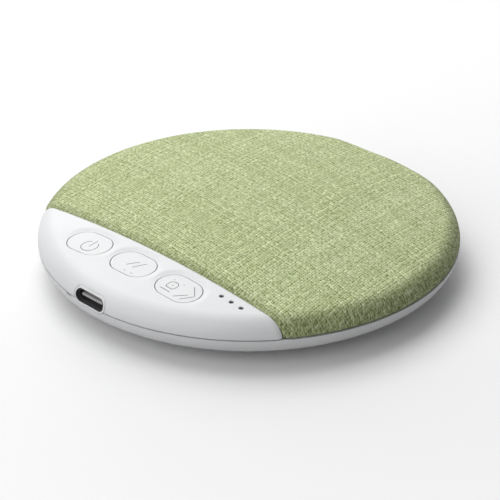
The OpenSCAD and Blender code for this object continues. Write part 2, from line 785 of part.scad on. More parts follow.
// Printed antenna: a meander of straight strips
module antenna_trace() {
  strip = 0.5 * spread;
  turn = 3 * strip;
  long = 6.4 * strip;
  color("goldenrod") translate([-31.5 * spread, -28.6 * spread, board_z]) for (i = [0:3]) {
    translate([i * turn, 0, 0]) cube([strip, long, 0.1]);
    if (i < 3) translate([i * turn, i % 2 == 0 ? long - strip : 0, 0]) cube([turn + strip, strip, 0.1]);
  }
}

// A socket whose mouth faces the near end of the board
module lead_socket(at) {
  color("white") translate([at[0], at[1], board_z]) mirror([at[0] < 0 ? 1 : 0, 0, 0]) difference() {
    translate([-connector_d / 2, -connector_w / 2, 0]) cube([connector_d, connector_w, connector_h]);
    translate([-connector_d / 2 + 0.5, -plug_w / 2 - plug_gap, 0.5])
      cube([connector_d, plug_w + 2 * plug_gap, connector_h - 1]);
  }
}

module battery_socket() { lead_socket(battery_socket_at); }
module speaker_socket() { lead_socket(speaker_socket_at); }

module lead_plug(at) {
  color("ivory") translate([at[0], at[1], board_z]) mirror([at[0] < 0 ? 1 : 0, 0, 0])
    translate([-connector_d / 2 + 0.5 + plug_gap, -plug_w / 2, 0.5 + plug_gap])
      cube([plug_d, plug_w, connector_h - 1 - 2 * plug_gap]);
}

module battery_plug() { lead_plug(battery_socket_at); }
module speaker_plug() { lead_plug(speaker_socket_at); }

module board_screws() {
  color("silver") for (p = board_screws_at) translate([p[0], p[1], board_z]) rotate([180, 0, 0])
    pan_screw(small_screw_d, small_head_d, small_head_h, board_t + 2.2);
}

// Battery

module battery() {
  color("lightsteelblue") translate([-cell_l / 2, cell_y + cell_w / 2, battery_z + battery_t / 2])
    rotate([90, 0, 90]) linear_extrude(cell_l) rounded_rect(cell_w, battery_t, 1.4);
}

module battery_board() {
  color("darkgoldenrod") translate([cell_l / 2 + 0.05, cell_y + cell_w / 2 - 5, battery_z + 1.2])
    cube([0.8, 10, 3.2]);
}

module battery_pad() {
  color("yellow") translate([-cell_l / 2 + 3, cell_y + 3, battery_rest])
    cube([cell_l - 6, cell_w - 6, pad_t]);
}

module battery_leads() {
  for (s = [-1, 1]) color(s < 0 ? "black" : "red")
    lead(beside(battery_lead_route, s * wire_gap / 2), wire_d);
}

// Loudspeaker

module driver_basket() {
  rim = driver_r - 2.3;
  waist = 13.7 * driver_share;
  neck = 12.5 * driver_share;
  color("dimgray") translate([0, speaker_y, flange_z]) difference() {
    union() {
      rotate_extrude() polygon([
        [rim, 0], [driver_r, 0], [driver_r, -basket_t], [rim + 0.6, -basket_t],
        [waist + 0.4, -3.4], [neck, -3.4], [neck, -5.2], [yoke_r + 0.05, -5.2],
        [yoke_r + 0.05, -4.5], [neck - 0.8, -4.5], [neck - 0.8, -2.6], [waist, -2.6]]);
      for (a = driver_angles) rotate(a) difference() {
        union() {
          translate([ear_r, 0, -basket_t]) cylinder(h = basket_t, d = ear_d, $fn = small_fn);
          translate([driver_r - 1, -ear_d / 2, -basket_t]) cube([ear_r - driver_r + 1, ear_d, basket_t]);
        }
        translate([ear_r, 0, -basket_t - cut]) cylinder(h = 2, d = small_screw_d + 0.2, $fn = tiny_fn);
      }
    }
    for (a = [30:60:330]) rotate(a) {
      translate([neck - 1.5, -neck / 4, -4.4]) cube([2.5, neck / 2, 0.9]);
      translate([waist + 0.5, -waist / 4, -2.4]) cube([4, waist / 2, 1.4]);
    }
  }
}

module driver_yoke() {
  color("slategray") translate([0, speaker_y, yoke_low]) difference() {
    cylinder(h = yoke_top - yoke_low, r = yoke_r);
    translate([0, 0, yoke_floor - yoke_low]) cylinder(h = 5, r = yoke_r - yoke_wall);
  }
}

module driver_magnet() {
  color("silver") translate([0, speaker_y, yoke_floor]) cylinder(h = magnet_t, d = magnet_w);
}

module pole_plate() {
  color("gray") translate([0, speaker_y, yoke_floor + magnet_t]) cylinder(h = pole_t, r = coil_r - 0.5);
}

module voice_coil() {
  inner = coil_r - former_t;
  low = yoke_floor + cone_travel + 0.6;
  color("peru") translate([0, speaker_y, 0]) rotate_extrude() polygon([
    [inner, low], [coil_r, low], [coil_r, low + 0.2], [coil_r + winding_t, low + 0.2],
    [coil_r + winding_t, low + 1.8], [coil_r, low + 1.8], [coil_r, flange_z - cone_neck],
    [inner, flange_z - cone_neck]]);
}

// Corrugated ring that centres the voice coil
module spider() {
  waves = 3;
  span = spider_edge - coil_r - 1.7;
  n = 24;
  line = [for (i = [0:n])
    [coil_r + 0.4 + i / n * span, spider_z - 0.15 + 0.3 * cos(360 * waves * i / n)]];
  color("wheat") translate([0, speaker_y, 0]) rotate_extrude() polygon(concat(
    [[coil_r, spider_z + 0.15]], line, [[spider_edge, spider_z + 0.15], [spider_edge, spider_z + 0.01]],
    [for (i = [n:-1:0]) line[i] - [0, 0.15]], [[coil_r, spider_z]]));
}

module cone() {
  color("black") translate([0, speaker_y, flange_z]) rotate_extrude() polygon([
    [coil_r + 0.02, -cone_neck - 0.3], [cone_r - 0.7, -0.3], [cone_r, -0.3], [cone_r, 0],
    [cone_r - 0.8, 0], [coil_r + 0.02, -cone_neck]]);
}

module dust_cap() {
  cap_r = coil_r + 1.2;
  edge_z = -cone_neck + 1.2 * cone_neck / (cone_r - 0.8 - coil_r) + 0.03;
  bow = 20;
  drop = bow - sqrt(bow * bow - cap_r * cap_r);
  a = asin(cap_r / bow);
  color("dimgray") translate([0, speaker_y, flange_z + edge_z + drop - bow]) rotate_extrude()
    polygon(concat(arc([0, 0], bow, 90, 90 - a, 8), arc([0, 0], bow + 0.25, 90 - a, 90, 8)));
}

module surround() {
  out = driver_r - 0.5;
  lip_a = asin(lip_film / (2 * roll_r + lip_film));
  color("black") translate([0, speaker_y, flange_z]) rotate_extrude() polygon(concat(
    [[cone_r - 0.9, lip_film]],
    arc([roll_mid, lip_film / 2], roll_r + lip_film / 2, 180 - lip_a, lip_a, 12),
    [[out, lip_film], [out, 0]],
    arc([roll_mid, lip_film / 2 - 0.15], roll_r - lip_film / 2, 0, 180, 12), [[cone_r - 0.9, 0]]));
}

module driver_gasket() {
  color("black") translate([0, speaker_y, 0])
    ring(driver_r - 0.5, driver_r - 2.2, flange_z + lip_film, ring_z);
}

module driver_terminals() {
  color("goldenrod") translate([-driver_r - 1.1, speaker_y, flange_z - basket_t]) {
    for (s = [-1, 1]) translate([-0.05, s * wire_gap / 2 - 0.45, -1.2]) cube([0.3, 0.9, 1.2]);
    translate([-0.05, -1.6, -0.3]) cube([2.4, 3.2, 0.3]);
  }
}

module driver_screws() {
  color("silver") translate([0, speaker_y, 0]) for (a = driver_angles) rotate(a)
    translate([ear_r, 0, flange_z - basket_t])
      pan_screw(small_screw_d, small_head_d, small_head_h, basket_t + 1.8);
}

module speaker_leads() {
  for (s = [-1, 1]) color(s < 0 ? "black" : "red")
    lead(beside(speaker_lead_route, s * wire_gap / 2), wire_d);
}

// Fasteners and feet of the case

module case_screws() {
  color("silver") for (p = case_screws_at) translate([p[0], p[1], screw_head_z + screw_head_h])
    pan_screw(case_screw_d, case_head_d, screw_head_h, 7.6);
}

module rubber_feet() {
  color("black") for (p = case_screws_at) translate([p[0], p[1], 0]) {
    cylinder(h = 0.4, d1 = foot_d - 0.8, d2 = foot_d);
    translate([0, 0, 0.4]) cylinder(h = foot_t - 0.4, d = foot_d);
  }
}

lower_shell();
top_housing();
fabric_cover();
foam_pad();
grille_plate();
button_left();
button_middle();
button_right();
plunger_left();
plunger_middle();
plunger_right();
switch_left();
switch_middle();
switch_right();
light_shield();
light_pipes();
status_lights();
usb_shell();
usb_tongue();
main_board();
controller_chip();
amplifier_chip();
charging_chip();
power_inductor();
timing_crystal();
capacitors();
antenna_trace();
battery_socket();
battery_plug();
speaker_socket();
speaker_plug();
board_screws();
battery();
battery_board();
battery_pad();
battery_leads();
driver_basket();
driver_yoke();
driver_magnet();
pole_plate();
voice_coil();
spider();
cone();
dust_cap();
surround();
driver_gasket();
driver_terminals();
driver_screws();
speaker_leads();
case_screws();
rubber_feet();
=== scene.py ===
import json
import math
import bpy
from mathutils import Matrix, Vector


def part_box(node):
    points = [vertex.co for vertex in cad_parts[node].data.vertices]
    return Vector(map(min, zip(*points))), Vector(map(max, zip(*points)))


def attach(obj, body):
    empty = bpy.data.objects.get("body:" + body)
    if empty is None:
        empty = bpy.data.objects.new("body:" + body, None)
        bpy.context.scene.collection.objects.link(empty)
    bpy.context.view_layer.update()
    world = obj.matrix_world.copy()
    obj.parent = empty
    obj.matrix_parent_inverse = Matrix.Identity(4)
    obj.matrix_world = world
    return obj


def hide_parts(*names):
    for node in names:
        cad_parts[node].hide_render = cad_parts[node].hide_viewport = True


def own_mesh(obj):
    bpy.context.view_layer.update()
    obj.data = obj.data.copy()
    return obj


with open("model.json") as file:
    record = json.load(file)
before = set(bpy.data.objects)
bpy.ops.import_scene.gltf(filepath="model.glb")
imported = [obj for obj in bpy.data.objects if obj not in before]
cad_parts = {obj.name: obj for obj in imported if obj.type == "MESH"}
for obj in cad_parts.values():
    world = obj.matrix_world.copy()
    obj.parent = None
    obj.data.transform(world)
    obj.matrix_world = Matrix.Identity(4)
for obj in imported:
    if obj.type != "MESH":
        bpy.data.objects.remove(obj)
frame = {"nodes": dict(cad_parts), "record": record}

from types import SimpleNamespace

import bpy
import numpy as np
from mathutils import Vector
from mathutils.geometry import delaunay_2d_cdt

# All lengths below are in millimetres, and mm turns them into metres
mm = 0.001
tiny, far = 1e-9, 1e9        # Guards for divisions and for the first distance of a search
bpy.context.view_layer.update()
nodes = frame["nodes"]
print("frame loaded:", len(nodes), "nodes")


def nodeBox(name):
    # The low and the high corner
    return np.array([list(corner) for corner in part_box(name)]) / mm


# Shape of the case, shared by every shell, skin and cap
caseForm = {
    "radius": 50.0,
    "crownHeight": float(nodeBox("fabric_cover")[1, 2]),
    "partingHeight": 8.0,
    "shoulderRadius": 4.85,
    "lowerEdgeRadius": 4.5,
    "lowerEdgeTurn": 30.0,
    "undersideHeight": 0.8,
    "grooveHalf": 0.16,
    "borderY": -29.8,
}
parting = caseForm["partingHeight"]


def sideForm(side, edge, turn, wide, wideCentre, flat):
    # One side of the case, 1 above and -1 below: a flat disc, a wide arc and the edge's arc.
    # Its lengths are measured along the surface from the axis, and it ends at the groove.
    joinLength = flat + wide * turn
    end = float(joinLength + edge * (math.acos(caseForm["grooveHalf"] / edge) - turn))
    return SimpleNamespace(side=side, edge=edge, centre=caseForm["radius"] - edge, turn=turn, wide=wide,
                           wideCentre=wideCentre, flat=flat, joinLength=joinLength, end=end)


def upperForm():
    edge = caseForm["shoulderRadius"]
    centre, rise = caseForm["radius"] - edge, caseForm["crownHeight"] - parting
    wide = (centre ** 2 + rise ** 2 - edge ** 2) / (2 * (rise - edge))
    wideCentre = caseForm["crownHeight"] - wide
    return sideForm(1, edge, math.atan2(centre, parting - wideCentre), wide, wideCentre, 0.0)


def lowerForm():
    edge, turn = caseForm["lowerEdgeRadius"], math.radians(caseForm["lowerEdgeTurn"])
    low = caseForm["undersideHeight"]
    wide = (parting - edge * math.cos(turn) - low) / (1 - math.cos(turn))
    flat = caseForm["radius"] - edge + edge * math.sin(turn) - wide * math.sin(turn)
    return sideForm(-1, edge, turn, wide, low + wide, flat)


upper = upperForm()
lower = lowerForm()


def skinAt(form, length):
    # Radius, height and outward normal at a length along the surface
    onWide = length <= form.joinLength
    turn = np.where(onWide, np.maximum(length - form.flat, 0) / form.wide,
                    form.turn + (length - form.joinLength) / form.edge)
    sine, cosine = np.sin(turn), form.side * np.cos(turn)
    r = np.where(onWide, np.minimum(length, form.flat) + form.wide * sine,
                 form.centre + form.edge * sine)
    z = np.where(onWide, form.wideCentre + form.wide * cosine, parting + form.edge * cosine)
    return r, z, sine, cosine


def upperLength(r):
    # Length along the top from the axis to a radius
    r = np.asarray(r, float)
    onWide = upper.wide * np.arcsin(np.clip(r / upper.wide, -1, 1))
    edgeTurn = np.arcsin(np.clip((r - upper.centre) / upper.edge, -1, 1)) - upper.turn
    onEdge = upper.joinLength + upper.edge * edgeTurn
    return np.where(r <= upper.wide * math.sin(upper.turn), onWide, onEdge)


def onSkin(form, flat, depth=0.0):
    # Points of the unrolled surface, lowered along its normal, with that normal
    flat = np.asarray(flat, float)
    length = np.hypot(flat[:, 0], flat[:, 1])
    safe = np.maximum(length, tiny)
    r, z, nr, nz = skinAt(form, length)
    ux, uy = flat[:, 0] / safe, flat[:, 1] / safe
    normal = np.stack([nr * ux, nr * uy, nz], 1)
    return np.stack([r * ux, r * uy, z], 1) - normal * np.reshape(depth, (-1, 1)), normal


def unrolled(points):
    # Plan points of the upper surface in its unrolled plane
    points = np.asarray(points, float)
    r = np.hypot(points[:, 0], points[:, 1])
    return points * (upperLength(r) / np.maximum(r, tiny))[:, None]


def loopArea(loop):
    return 0.5 * np.sum(loop[:, 0] * np.roll(loop[:, 1], -1) - np.roll(loop[:, 0], -1) * loop[:, 1])


def insideLoop(points, loop):
    x, y = points[:, 0], points[:, 1]
    inside = np.zeros(len(points), bool)
    for a, b in zip(loop, np.roll(loop, -1, axis=0)):
        crosses = (a[1] > y) != (b[1] > y)
        with np.errstate(divide="ignore", invalid="ignore"):
            hit = x < (b[0] - a[0]) * (y - a[1]) / (b[1] - a[1]) + a[0]
        inside ^= crosses & hit
    return inside


def within(points, loops):
    # Inside the first loop and outside the others
    keep = insideLoop(points, loops[0])
    for hole in loops[1:]:
        keep &= ~insideLoop(points, hole)
    return keep


def loopDistance(points, loop):
    # Distance to a closed line and its nearest point
    best, nearest = np.full(len(points), far), np.zeros_like(points)
    for p, q in zip(loop, np.roll(loop, -1, axis=0)):
        d = q - p
        t = np.clip(((points - p) @ d) / max(d @ d, tiny), 0, 1)
        at = p + t[:, None] * d
        gap = np.hypot(*(points - at).T)
        closer = gap < best
        best[closer] = gap[closer]
        nearest[closer] = at[closer]
    return best, nearest


def gapTo(points, loops):
    return np.min([loopDistance(points, loop)[0] for loop in loops], 0)


def leftOf(way):
    # Unit vectors to the left of directions
    return np.stack([-way[:, 1], way[:, 0]], 1) / np.maximum(np.hypot(*way.T), tiny)[:, None]


def leftOfLoop(loop):
    return leftOf(np.roll(loop, -1, axis=0) - np.roll(loop, 1, axis=0))


def inwardOf(loop, isOuter):
    # Unit vectors that point from the line into the surface
    return leftOfLoop(loop) * (1 if loopArea(loop) > 0 else -1) * (1 if isOuter else -1)


def arcAt(centre, radius, turns):
    return np.stack([centre[0] + radius * np.cos(turns), centre[1] + radius * np.sin(turns)], 1)


def circleLoop(centre, radius, count=28):
    return arcAt(centre, radius, np.linspace(0, 2 * math.pi, count, endpoint=False))


def arcLine(length, start, end, turned=0, step=0.6):
    # An arc about the axis, from the direction of one point to that of another. turned is 1 where the end
    # lies beyond the angle 180, and 2 where both do.
    a, b = math.atan2(start[1], start[0]), math.atan2(end[1], end[0])
    a, b = a + 2 * math.pi * (turned > 1), b + 2 * math.pi * (turned > 0)
    return arcAt((0, 0), length, np.linspace(a, b, max(3, int(abs(b - a) * length / step))))


def stadiumLoop(centre, flat, radius, grow=0.0, count=22):
    # Counter-clockwise outline with round ends
    turns = [(side, math.radians(180 * i / count - 90 * side)) for side in (1, -1) for i in range(count + 1)]
    return np.array([(centre[0] + side * flat / 2 + (radius + grow) * math.cos(a),
                      centre[1] + (radius + grow) * math.sin(a)) for side, a in turns])


def spread(points, step, closed=False):
    # The same line with a point at least every step
    points = np.asarray(points, float)
    ends = np.roll(points, -1, axis=0) if closed else points[1:]
    out = [points[0]]
    for a, b in zip(points, ends):
        n = max(1, int(math.ceil(np.hypot(*(b - a)) / step)))
        out += [a + (b - a) * k / n for k in range(1, n + 1)]
    return np.array(out[:-1] if closed else out)


def chord(y, skinEnd, step=0.5):
    # The line of constant y on the top, from left to right: even in x, and even in length near its ends
    switch, endCount = 34.0, 24
    xs = np.arange(-switch, switch + 1e-6, step)
    r = np.hypot(xs, y)
    middle = np.stack([xs, np.full(len(xs), y)], 1) * (upperLength(r) / r)[:, None]
    lengths = np.linspace(float(upperLength(math.hypot(switch, y))), skinEnd, endCount)[1:]
    r = skinAt(upper, lengths)[0]
    right = np.stack([np.sqrt(r ** 2 - y ** 2), np.full(len(r), y)], 1) * (lengths / r)[:, None]
    return np.concatenate([(right * [-1, 1])[::-1], middle, right])


def closedBehind(line, length, step=0.6):
    # The loop of a chord and the round rim behind it
    return np.concatenate([line, arcLine(length, line[-1], line[0], 1, step)[1:-1]])


def bands(n, m, closed):
    # Faces between m rings of n points each
    return [(k * n + i, k * n + (i + 1) % n, (k + 1) % m * n + (i + 1) % n, (k + 1) % m * n + i)
            for k in range(m if closed else m - 1) for i in range(n)]


def newObject(name, data):
    made = bpy.data.objects.new(name, data)
    bpy.context.scene.collection.objects.link(made)
    return made


def makeMesh(name, verts, faces, uvs=None, smooth=True, sharpAngle=None):
    # uvs go by corner
    mesh = bpy.data.meshes.new(name)
    mesh.from_pydata([tuple(v) for v in np.asarray(verts) * mm], [], [tuple(f) for f in faces])
    mesh.update()
    piece = newObject(name, mesh)
    mesh.polygons.foreach_set("use_smooth", [smooth] * len(mesh.polygons))
    if uvs is not None:
        layer = mesh.uv_layers.new(name="surface")
        layer.data.foreach_set("uv", np.asarray(uvs, np.float32).ravel())
    if sharpAngle:
        mesh.set_sharp_from_angle(angle=math.radians(sharpAngle))
    return piece


# How finely a skin is cut: the first rings stand at these shares of its edge's radius
skinMesh = {"loopStep": 0.6, "edgeShares": (0.08, 0.3, 0.6, 1.0), "ringKeep": 0.93, "rowHeight": 0.9,
            "gridGap": 0.4, "slopeStep": 0.02, "onLine": 1e-4, "merge": 1e-5}


def cutSheet(loops, inward, step, offsets):
    # Triangles within loops of the unrolled plane, with rings of points along every loop
    rings = []
    for loop, into in zip(loops, inward):
        for offset in offsets:
            ring = loop + into * offset
            rings.append(ring[gapTo(ring, loops) > offset * skinMesh["ringKeep"]])
    rings = np.concatenate(rings)
    low, high = loops[0].min(0), loops[0].max(0)
    nx, ny = (int(v) for v in np.ceil((high - low) / step) + 1)
    gx, gy = (axis.ravel() for axis in np.meshgrid(np.arange(nx), np.arange(ny)))
    grid = np.stack([low[0] + (gx + 0.5 * (gy % 2)) * step, low[1] + gy * step * skinMesh["rowHeight"]], 1)
    grid = grid[within(grid, loops)]
    grid = grid[gapTo(grid, loops) > offsets[-1] + step * skinMesh["gridGap"]]
    points = np.concatenate(loops + [rings[within(rings, loops)], grid])
    edges, start = [], 0
    for loop in loops:
        n = len(loop)
        edges += [(start + i, start + (i + 1) % n) for i in range(n)]
        start += n
    placed, _, found, *_ = delaunay_2d_cdt([Vector(p) for p in points], edges, [], 0, skinMesh["merge"])
    flat = np.array([tuple(v) for v in placed])
    tris = np.array([list(f) for f in found if len(f) == 3])
    tris = tris[within(flat[tris].mean(1), loops)]
    a, b = flat[tris[:, 1]] - flat[tris[:, 0]], flat[tris[:, 2]] - flat[tris[:, 0]]
    turned = a[:, 0] * b[:, 1] - a[:, 1] * b[:, 0] < 0
    tris[turned] = tris[turned][:, ::-1]
    used, inverse = np.unique(tris, return_inverse=True)
    return flat[used], inverse.reshape(tris.shape)


def edgePlace(flat, loops, inward, edgeRound):
    # How far in each point lies, from 0 on the edge to 1 where its rounding ends, and which way is inward
    near, into = np.full(len(flat), far), np.zeros_like(flat)
    for loop, ways in zip(loops, inward):
        gap, foot = loopDistance(flat, loop)
        closer = gap < near
        near[closer] = gap[closer]
        way = flat - foot
        onLine = gap < skinMesh["onLine"]
        if onLine.any():
            index = np.argmin(np.hypot(*(flat[onLine][:, None] - loop[None]).transpose(2, 0, 1)), axis=1)
            way[onLine] = ways[index]
        way /= np.maximum(np.hypot(*way.T), tiny)[:, None]
        into[closer] = way[closer]
    return np.clip(near / edgeRound, 0, 1), into


def depthOf(given):
    # A depth given as a number or as a function of the place
    return given if callable(given) else lambda flat: np.full(len(flat), given)


def skinSolid(name, form, outer, look, holes=(), relief=0.0):
    # A closed shell that follows one side of the case: loops in the unrolled plane bound it, and
    # relief lowers its face. look gives meshStep, thickness, edgeRound and the further rings.
    step, edgeRound, sink = look["meshStep"], look["edgeRound"], depthOf(relief)
    loops = [spread(loop, min(skinMesh["loopStep"], step), True) for loop in (outer, *holes)]
    inward = [inwardOf(loop, k == 0) for k, loop in enumerate(loops)]
    offsets = [edgeRound * share for share in skinMesh["edgeShares"]]
    offsets += [edgeRound + ring for ring in look.get("rings", ())]
    flat, tris = cutSheet(loops, inward, step, offsets)

    t, into = edgePlace(flat, loops, inward, edgeRound)
    drop = edgeRound * (1 - np.sqrt(np.clip(1 - (1 - t) ** 2, 0, 1)))
    top, normal = onSkin(form, flat, drop + sink(flat))
    under, _ = onSkin(form, flat, depthOf(look["thickness"])(flat))
    small = skinMesh["slopeStep"]
    along, slope = [], []
    for shift in (np.array([small, 0]), np.array([0, small])):
        way = onSkin(form, flat + shift)[0] - onSkin(form, flat - shift)[0]
        along.append(way / np.linalg.norm(way, axis=1)[:, None])
        slope.append(((sink(flat + shift) - sink(flat - shift)) / (2 * small))[:, None])
    sine = (1 - t)[:, None]
    tilt = normal * np.sqrt(1 - sine ** 2) - (along[0] * into[:, :1] + along[1] * into[:, 1:]) * sine
    tilt = tilt + along[0] * slope[0] + along[1] * slope[1]
    tilt /= np.linalg.norm(tilt, axis=1)[:, None]

    n, way = len(flat), form.side       # The faces of the underside run the other way round
    sides = {(tri[k], tri[(k + 1) % 3]) for tri in tris.tolist() for k in range(3)}
    rim = [pair for pair in sides if pair[::-1] not in sides]
    faces = [tuple(tri[::way]) for tri in tris] + [tuple(tri[::-way] + n) for tri in tris]
    normals = np.concatenate([tilt, -normal])
    corners = [tuple(normals[i]) for face in faces for i in face] + [(0, 0, 0)] * (4 * len(rim))
    faces += [(a, b, b + n, a + n) for a, b in (pair[::-way] for pair in rim)]
    both = np.concatenate([flat, flat]) * mm
    piece = makeMesh(name, np.concatenate([top, under]), faces, [both[i] for face in faces for i in face])
    sharp = {tuple(sorted((a + k, b + k))) for a, b in rim for k in (0, n)}
    edges = piece.data.edges
    edges.foreach_set("use_edge_sharp", [tuple(sorted(edge.vertices)) in sharp for edge in edges])
    piece.data.normals_split_custom_set(corners)
    return piece


def latheSolid(name, profile, count=128, centre=(0, 0)):
    # A profile of (radius, height) points turned about a vertical axis: closed, or from axis to axis
    profile = np.asarray(profile, float)
    onAxis = profile[0, 0] == 0 and profile[-1, 0] == 0
    turned = profile[1:-1] if onAxis else profile
    m = len(turned)
    a = np.linspace(0, 2 * math.pi, count, endpoint=False)
    verts = np.stack([centre[0] + np.outer(np.cos(a), turned[:, 0]),
                      centre[1] + np.outer(np.sin(a), turned[:, 0]),
                      np.tile(turned[:, 1], (count, 1))], 2).reshape(-1, 3)
    faces = []
    for i in range(count):
        j = (i + 1) % count
        around = [(i * m + k, j * m + k, j * m + (k + 1) % m, i * m + (k + 1) % m)
                  for k in range(m - onAxis)]
        if onAxis:
            around += [(count * m, j * m, i * m), (i * m + m - 1, j * m + m - 1, count * m + 1)]
        faces += [face if loopArea(profile) > 0 else face[::-1] for face in around]
    if onAxis:
        verts = np.concatenate([verts, [(*centre, profile[0, 1]), (*centre, profile[-1, 1])]])
    return makeMesh(name, verts, faces, sharpAngle=35)


def prism(name, loop, low, high, edge=0.1):
    # An upright prism with small chamfered edges
    loop = np.asarray(loop, float)
    n = len(loop)
    inner = loop + leftOfLoop(loop) * edge
    rings = [(inner, low), (loop, low + edge), (loop, high - edge), (inner, high)]
    verts = np.concatenate([np.column_stack([ring, np.full(n, z)]) for ring, z in rings])
    faces = [tuple(range(n))[::-1], tuple(range(3 * n, 4 * n))] + bands(n, len(rings), False)
    return makeMesh(name, verts, faces, sharpAngle=50)


def bar(name, size, middle, backY, edge):
    # A prism of a width, length and height, given by its middle in x and z and its back
    half, front = size[0] / 2, backY - size[1]
    loop = [(middle[0] - half, front), (middle[0] + half, front), (middle[0] + half, backY),
            (middle[0] - half, backY)]
    low = middle[1] - size[2] / 2
    return prism(name, loop, low, low + size[2], edge)


def joinPieces(name, pieces):
    # One piece from several, each kept as its own closed shell
    with bpy.context.temp_override(active_object=pieces[0], object=pieces[0], selected_objects=pieces,
                                   selected_editable_objects=pieces):
        bpy.ops.object.join()
    pieces[0].name = name
    pieces[0].data.name = name
    return pieces[0]


class Wiring:
    # Short forms for the nodes of one tree: a socket given as a value is linked, anything else is set
    def __init__(self, tree):
        self.tree = tree

    def feed(self, node, inputs):
        for key, value in inputs.items():
            if isinstance(value, bpy.types.NodeSocket):
                self.tree.links.new(value, node.inputs[key])
            else:
                node.inputs[key].default_value = value

    def node(self, kind, inputs=None, **props):
        node = self.tree.nodes.new(kind)
        for key, value in props.items():
            setattr(node, key, value)
        self.feed(node, inputs or {})
        return node

    def calc(self, operation, *values):
        return self.node("ShaderNodeMath", dict(enumerate(values)), operation=operation).outputs[0]

    def times(self, *values):
        return self.calc("MULTIPLY", *values)

    def line(self, value, slope, start):
        return self.calc("MULTIPLY_ADD", value, slope, start)

    def vector(self, operation, *values):
        inputs = dict(zip((0, "Scale" if operation == "SCALE" else 1), values))
        made = self.node("ShaderNodeVectorMath", inputs, operation=operation).outputs
        return made["Value" if operation == "LENGTH" else "Vector"]

    def joined(self, x=0.0, y=0.0, z=0.0):
        return self.node("ShaderNodeCombineXYZ", {0: x, 1: y, 2: z}).outputs[0]

    def parts(self, place):
        return self.node("ShaderNodeSeparateXYZ", {0: place}).outputs

    def noise(self, place, scale, detail):
        return self.node("ShaderNodeTexNoise", {"Vector": place, "Scale": scale, "Detail": detail}).outputs

    def hashed(self, kind, place):
        return self.node("ShaderNodeTexWhiteNoise", place, noise_dimensions=kind).outputs[0]

    def mapped(self, value, low, high, toLow=0.0, toHigh=1.0, kind="LINEAR"):
        inputs = {"Value": value, "From Min": low, "From Max": high, "To Min": toLow, "To Max": toHigh}
        return self.node("ShaderNodeMapRange", inputs, interpolation_type=kind).outputs[0]

    def group(self, tree, inputs):
        node = self.node("ShaderNodeGroup", node_tree=tree)
        self.feed(node, inputs)
        return node.outputs

    def bump(self, height, strength, depth):
        inputs = {"Height": height, "Strength": strength, "Distance": depth * mm}
        return self.node("ShaderNodeBump", inputs).outputs[0]

    def mixed(self, share, first, second):
        return self.node("ShaderNodeMix", {"Factor": share, "A": first, "B": second}).outputs[0]

    def blended(self, share, first, second):
        # The inputs 6 and 7 and the output 2 are the colours
        return self.node("ShaderNodeMix", {"Factor": share, 6: first, 7: second}, data_type="RGBA").outputs[2]


def addSocket(tree, label, kind, way="INPUT"):
    return tree.interface.new_socket(label, in_out=way, socket_type="NodeSocket" + kind)


def copiesTree():
    # Copies of one object on a grid, each with its own turn, made real
    tree = bpy.data.node_groups.new("CopiesOnGrid", "GeometryNodeTree")
    tree.is_modifier = True
    inputs = {"Copy": "Object", "Columns": "Int", "Rows": "Int", "Width": "Float", "Depth": "Float",
              "Middle": "Vector", "Grid Turn": "Vector", "Own Turn": "Float", "Seed": "Int"}
    for label, kind in inputs.items():
        addSocket(tree, label, kind)
    addSocket(tree, "Geometry", "Geometry", "OUTPUT")
    t, given = Wiring(tree), tree.nodes.new("NodeGroupInput").outputs

    def step(kind, inputs):
        return t.node("GeometryNode" + kind, inputs).outputs[0]

    grid = step("MeshGrid", {"Size X": given["Width"], "Size Y": given["Depth"],
                             "Vertices X": given["Columns"], "Vertices Y": given["Rows"]})
    placed = step("Transform", {"Geometry": grid, "Translation": given["Middle"],
                                "Rotation": given["Grid Turn"]})
    one = t.node("GeometryNodeObjectInfo", {"Object": given["Copy"]}).outputs["Geometry"]
    turn = t.node("FunctionNodeRandomValue", {"Seed": given["Seed"]}, data_type="FLOAT").outputs[1]
    angles = t.joined(z=t.times(turn, given["Own Turn"]))
    copies = step("InstanceOnPoints", {"Points": placed, "Instance": one, "Rotation": angles})
    real = step("RealizeInstances", {"Geometry": copies})
    t.node("NodeGroupOutput", {0: real})
    return tree


copiesOnGrid = copiesTree()


def copiesOf(name, one, values):
    # One piece from copies of an object, which is removed after use
    piece = newObject(name, bpy.data.meshes.new(name))
    modifier = piece.modifiers.new("copies", "NODES")
    modifier.node_group = copiesOnGrid
    given = [item for item in copiesOnGrid.interface.items_tree if item.in_out == "INPUT"]
    socketOf = {item.name: item.identifier for item in given}
    for label, value in {"Copy": one, **values}.items():
        modifier[socketOf[label]] = value
    bpy.context.view_layer.update()
    made = bpy.data.meshes.new_from_object(piece.evaluated_get(bpy.context.evaluated_depsgraph_get()))
    piece.modifiers.clear()
    piece.data = made
    made.name = name
    bpy.data.objects.remove(one)
    return piece


worn = []        # Each piece with the finish that it gets once all are made


def dress(piece, slot, node=None, body="case"):
    # The node that a piece stands for, its finish and the body that it rides on
    if node:
        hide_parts(node)
    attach(piece, body)
    worn.append((piece, slot))


# Charging port: a flat part between two round ends, seen from the front
port = {
    "x": -1.2, "z": 9.28, "openingWidth": 9.4, "openingHeight": 3.05, "endCount": 28,
    "collar": 0.5, "groove": 0.15, "collarRound": 0.1, "collarDepth": 3.1, "collarSink": 0.06, "lowSink": 0.1,
    "notchX": -8.55, "notchWidth": 1.7, "notchDepth": 0.5,
}
portMiddle = (port["x"], port["z"])
portFlat, portRadius = port["openingWidth"] - port["openingHeight"], port["openingHeight"] / 2


def rimRadius(form, z):
    return form.centre + np.sqrt(np.maximum(form.edge ** 2 - (z - parting) ** 2, 0))


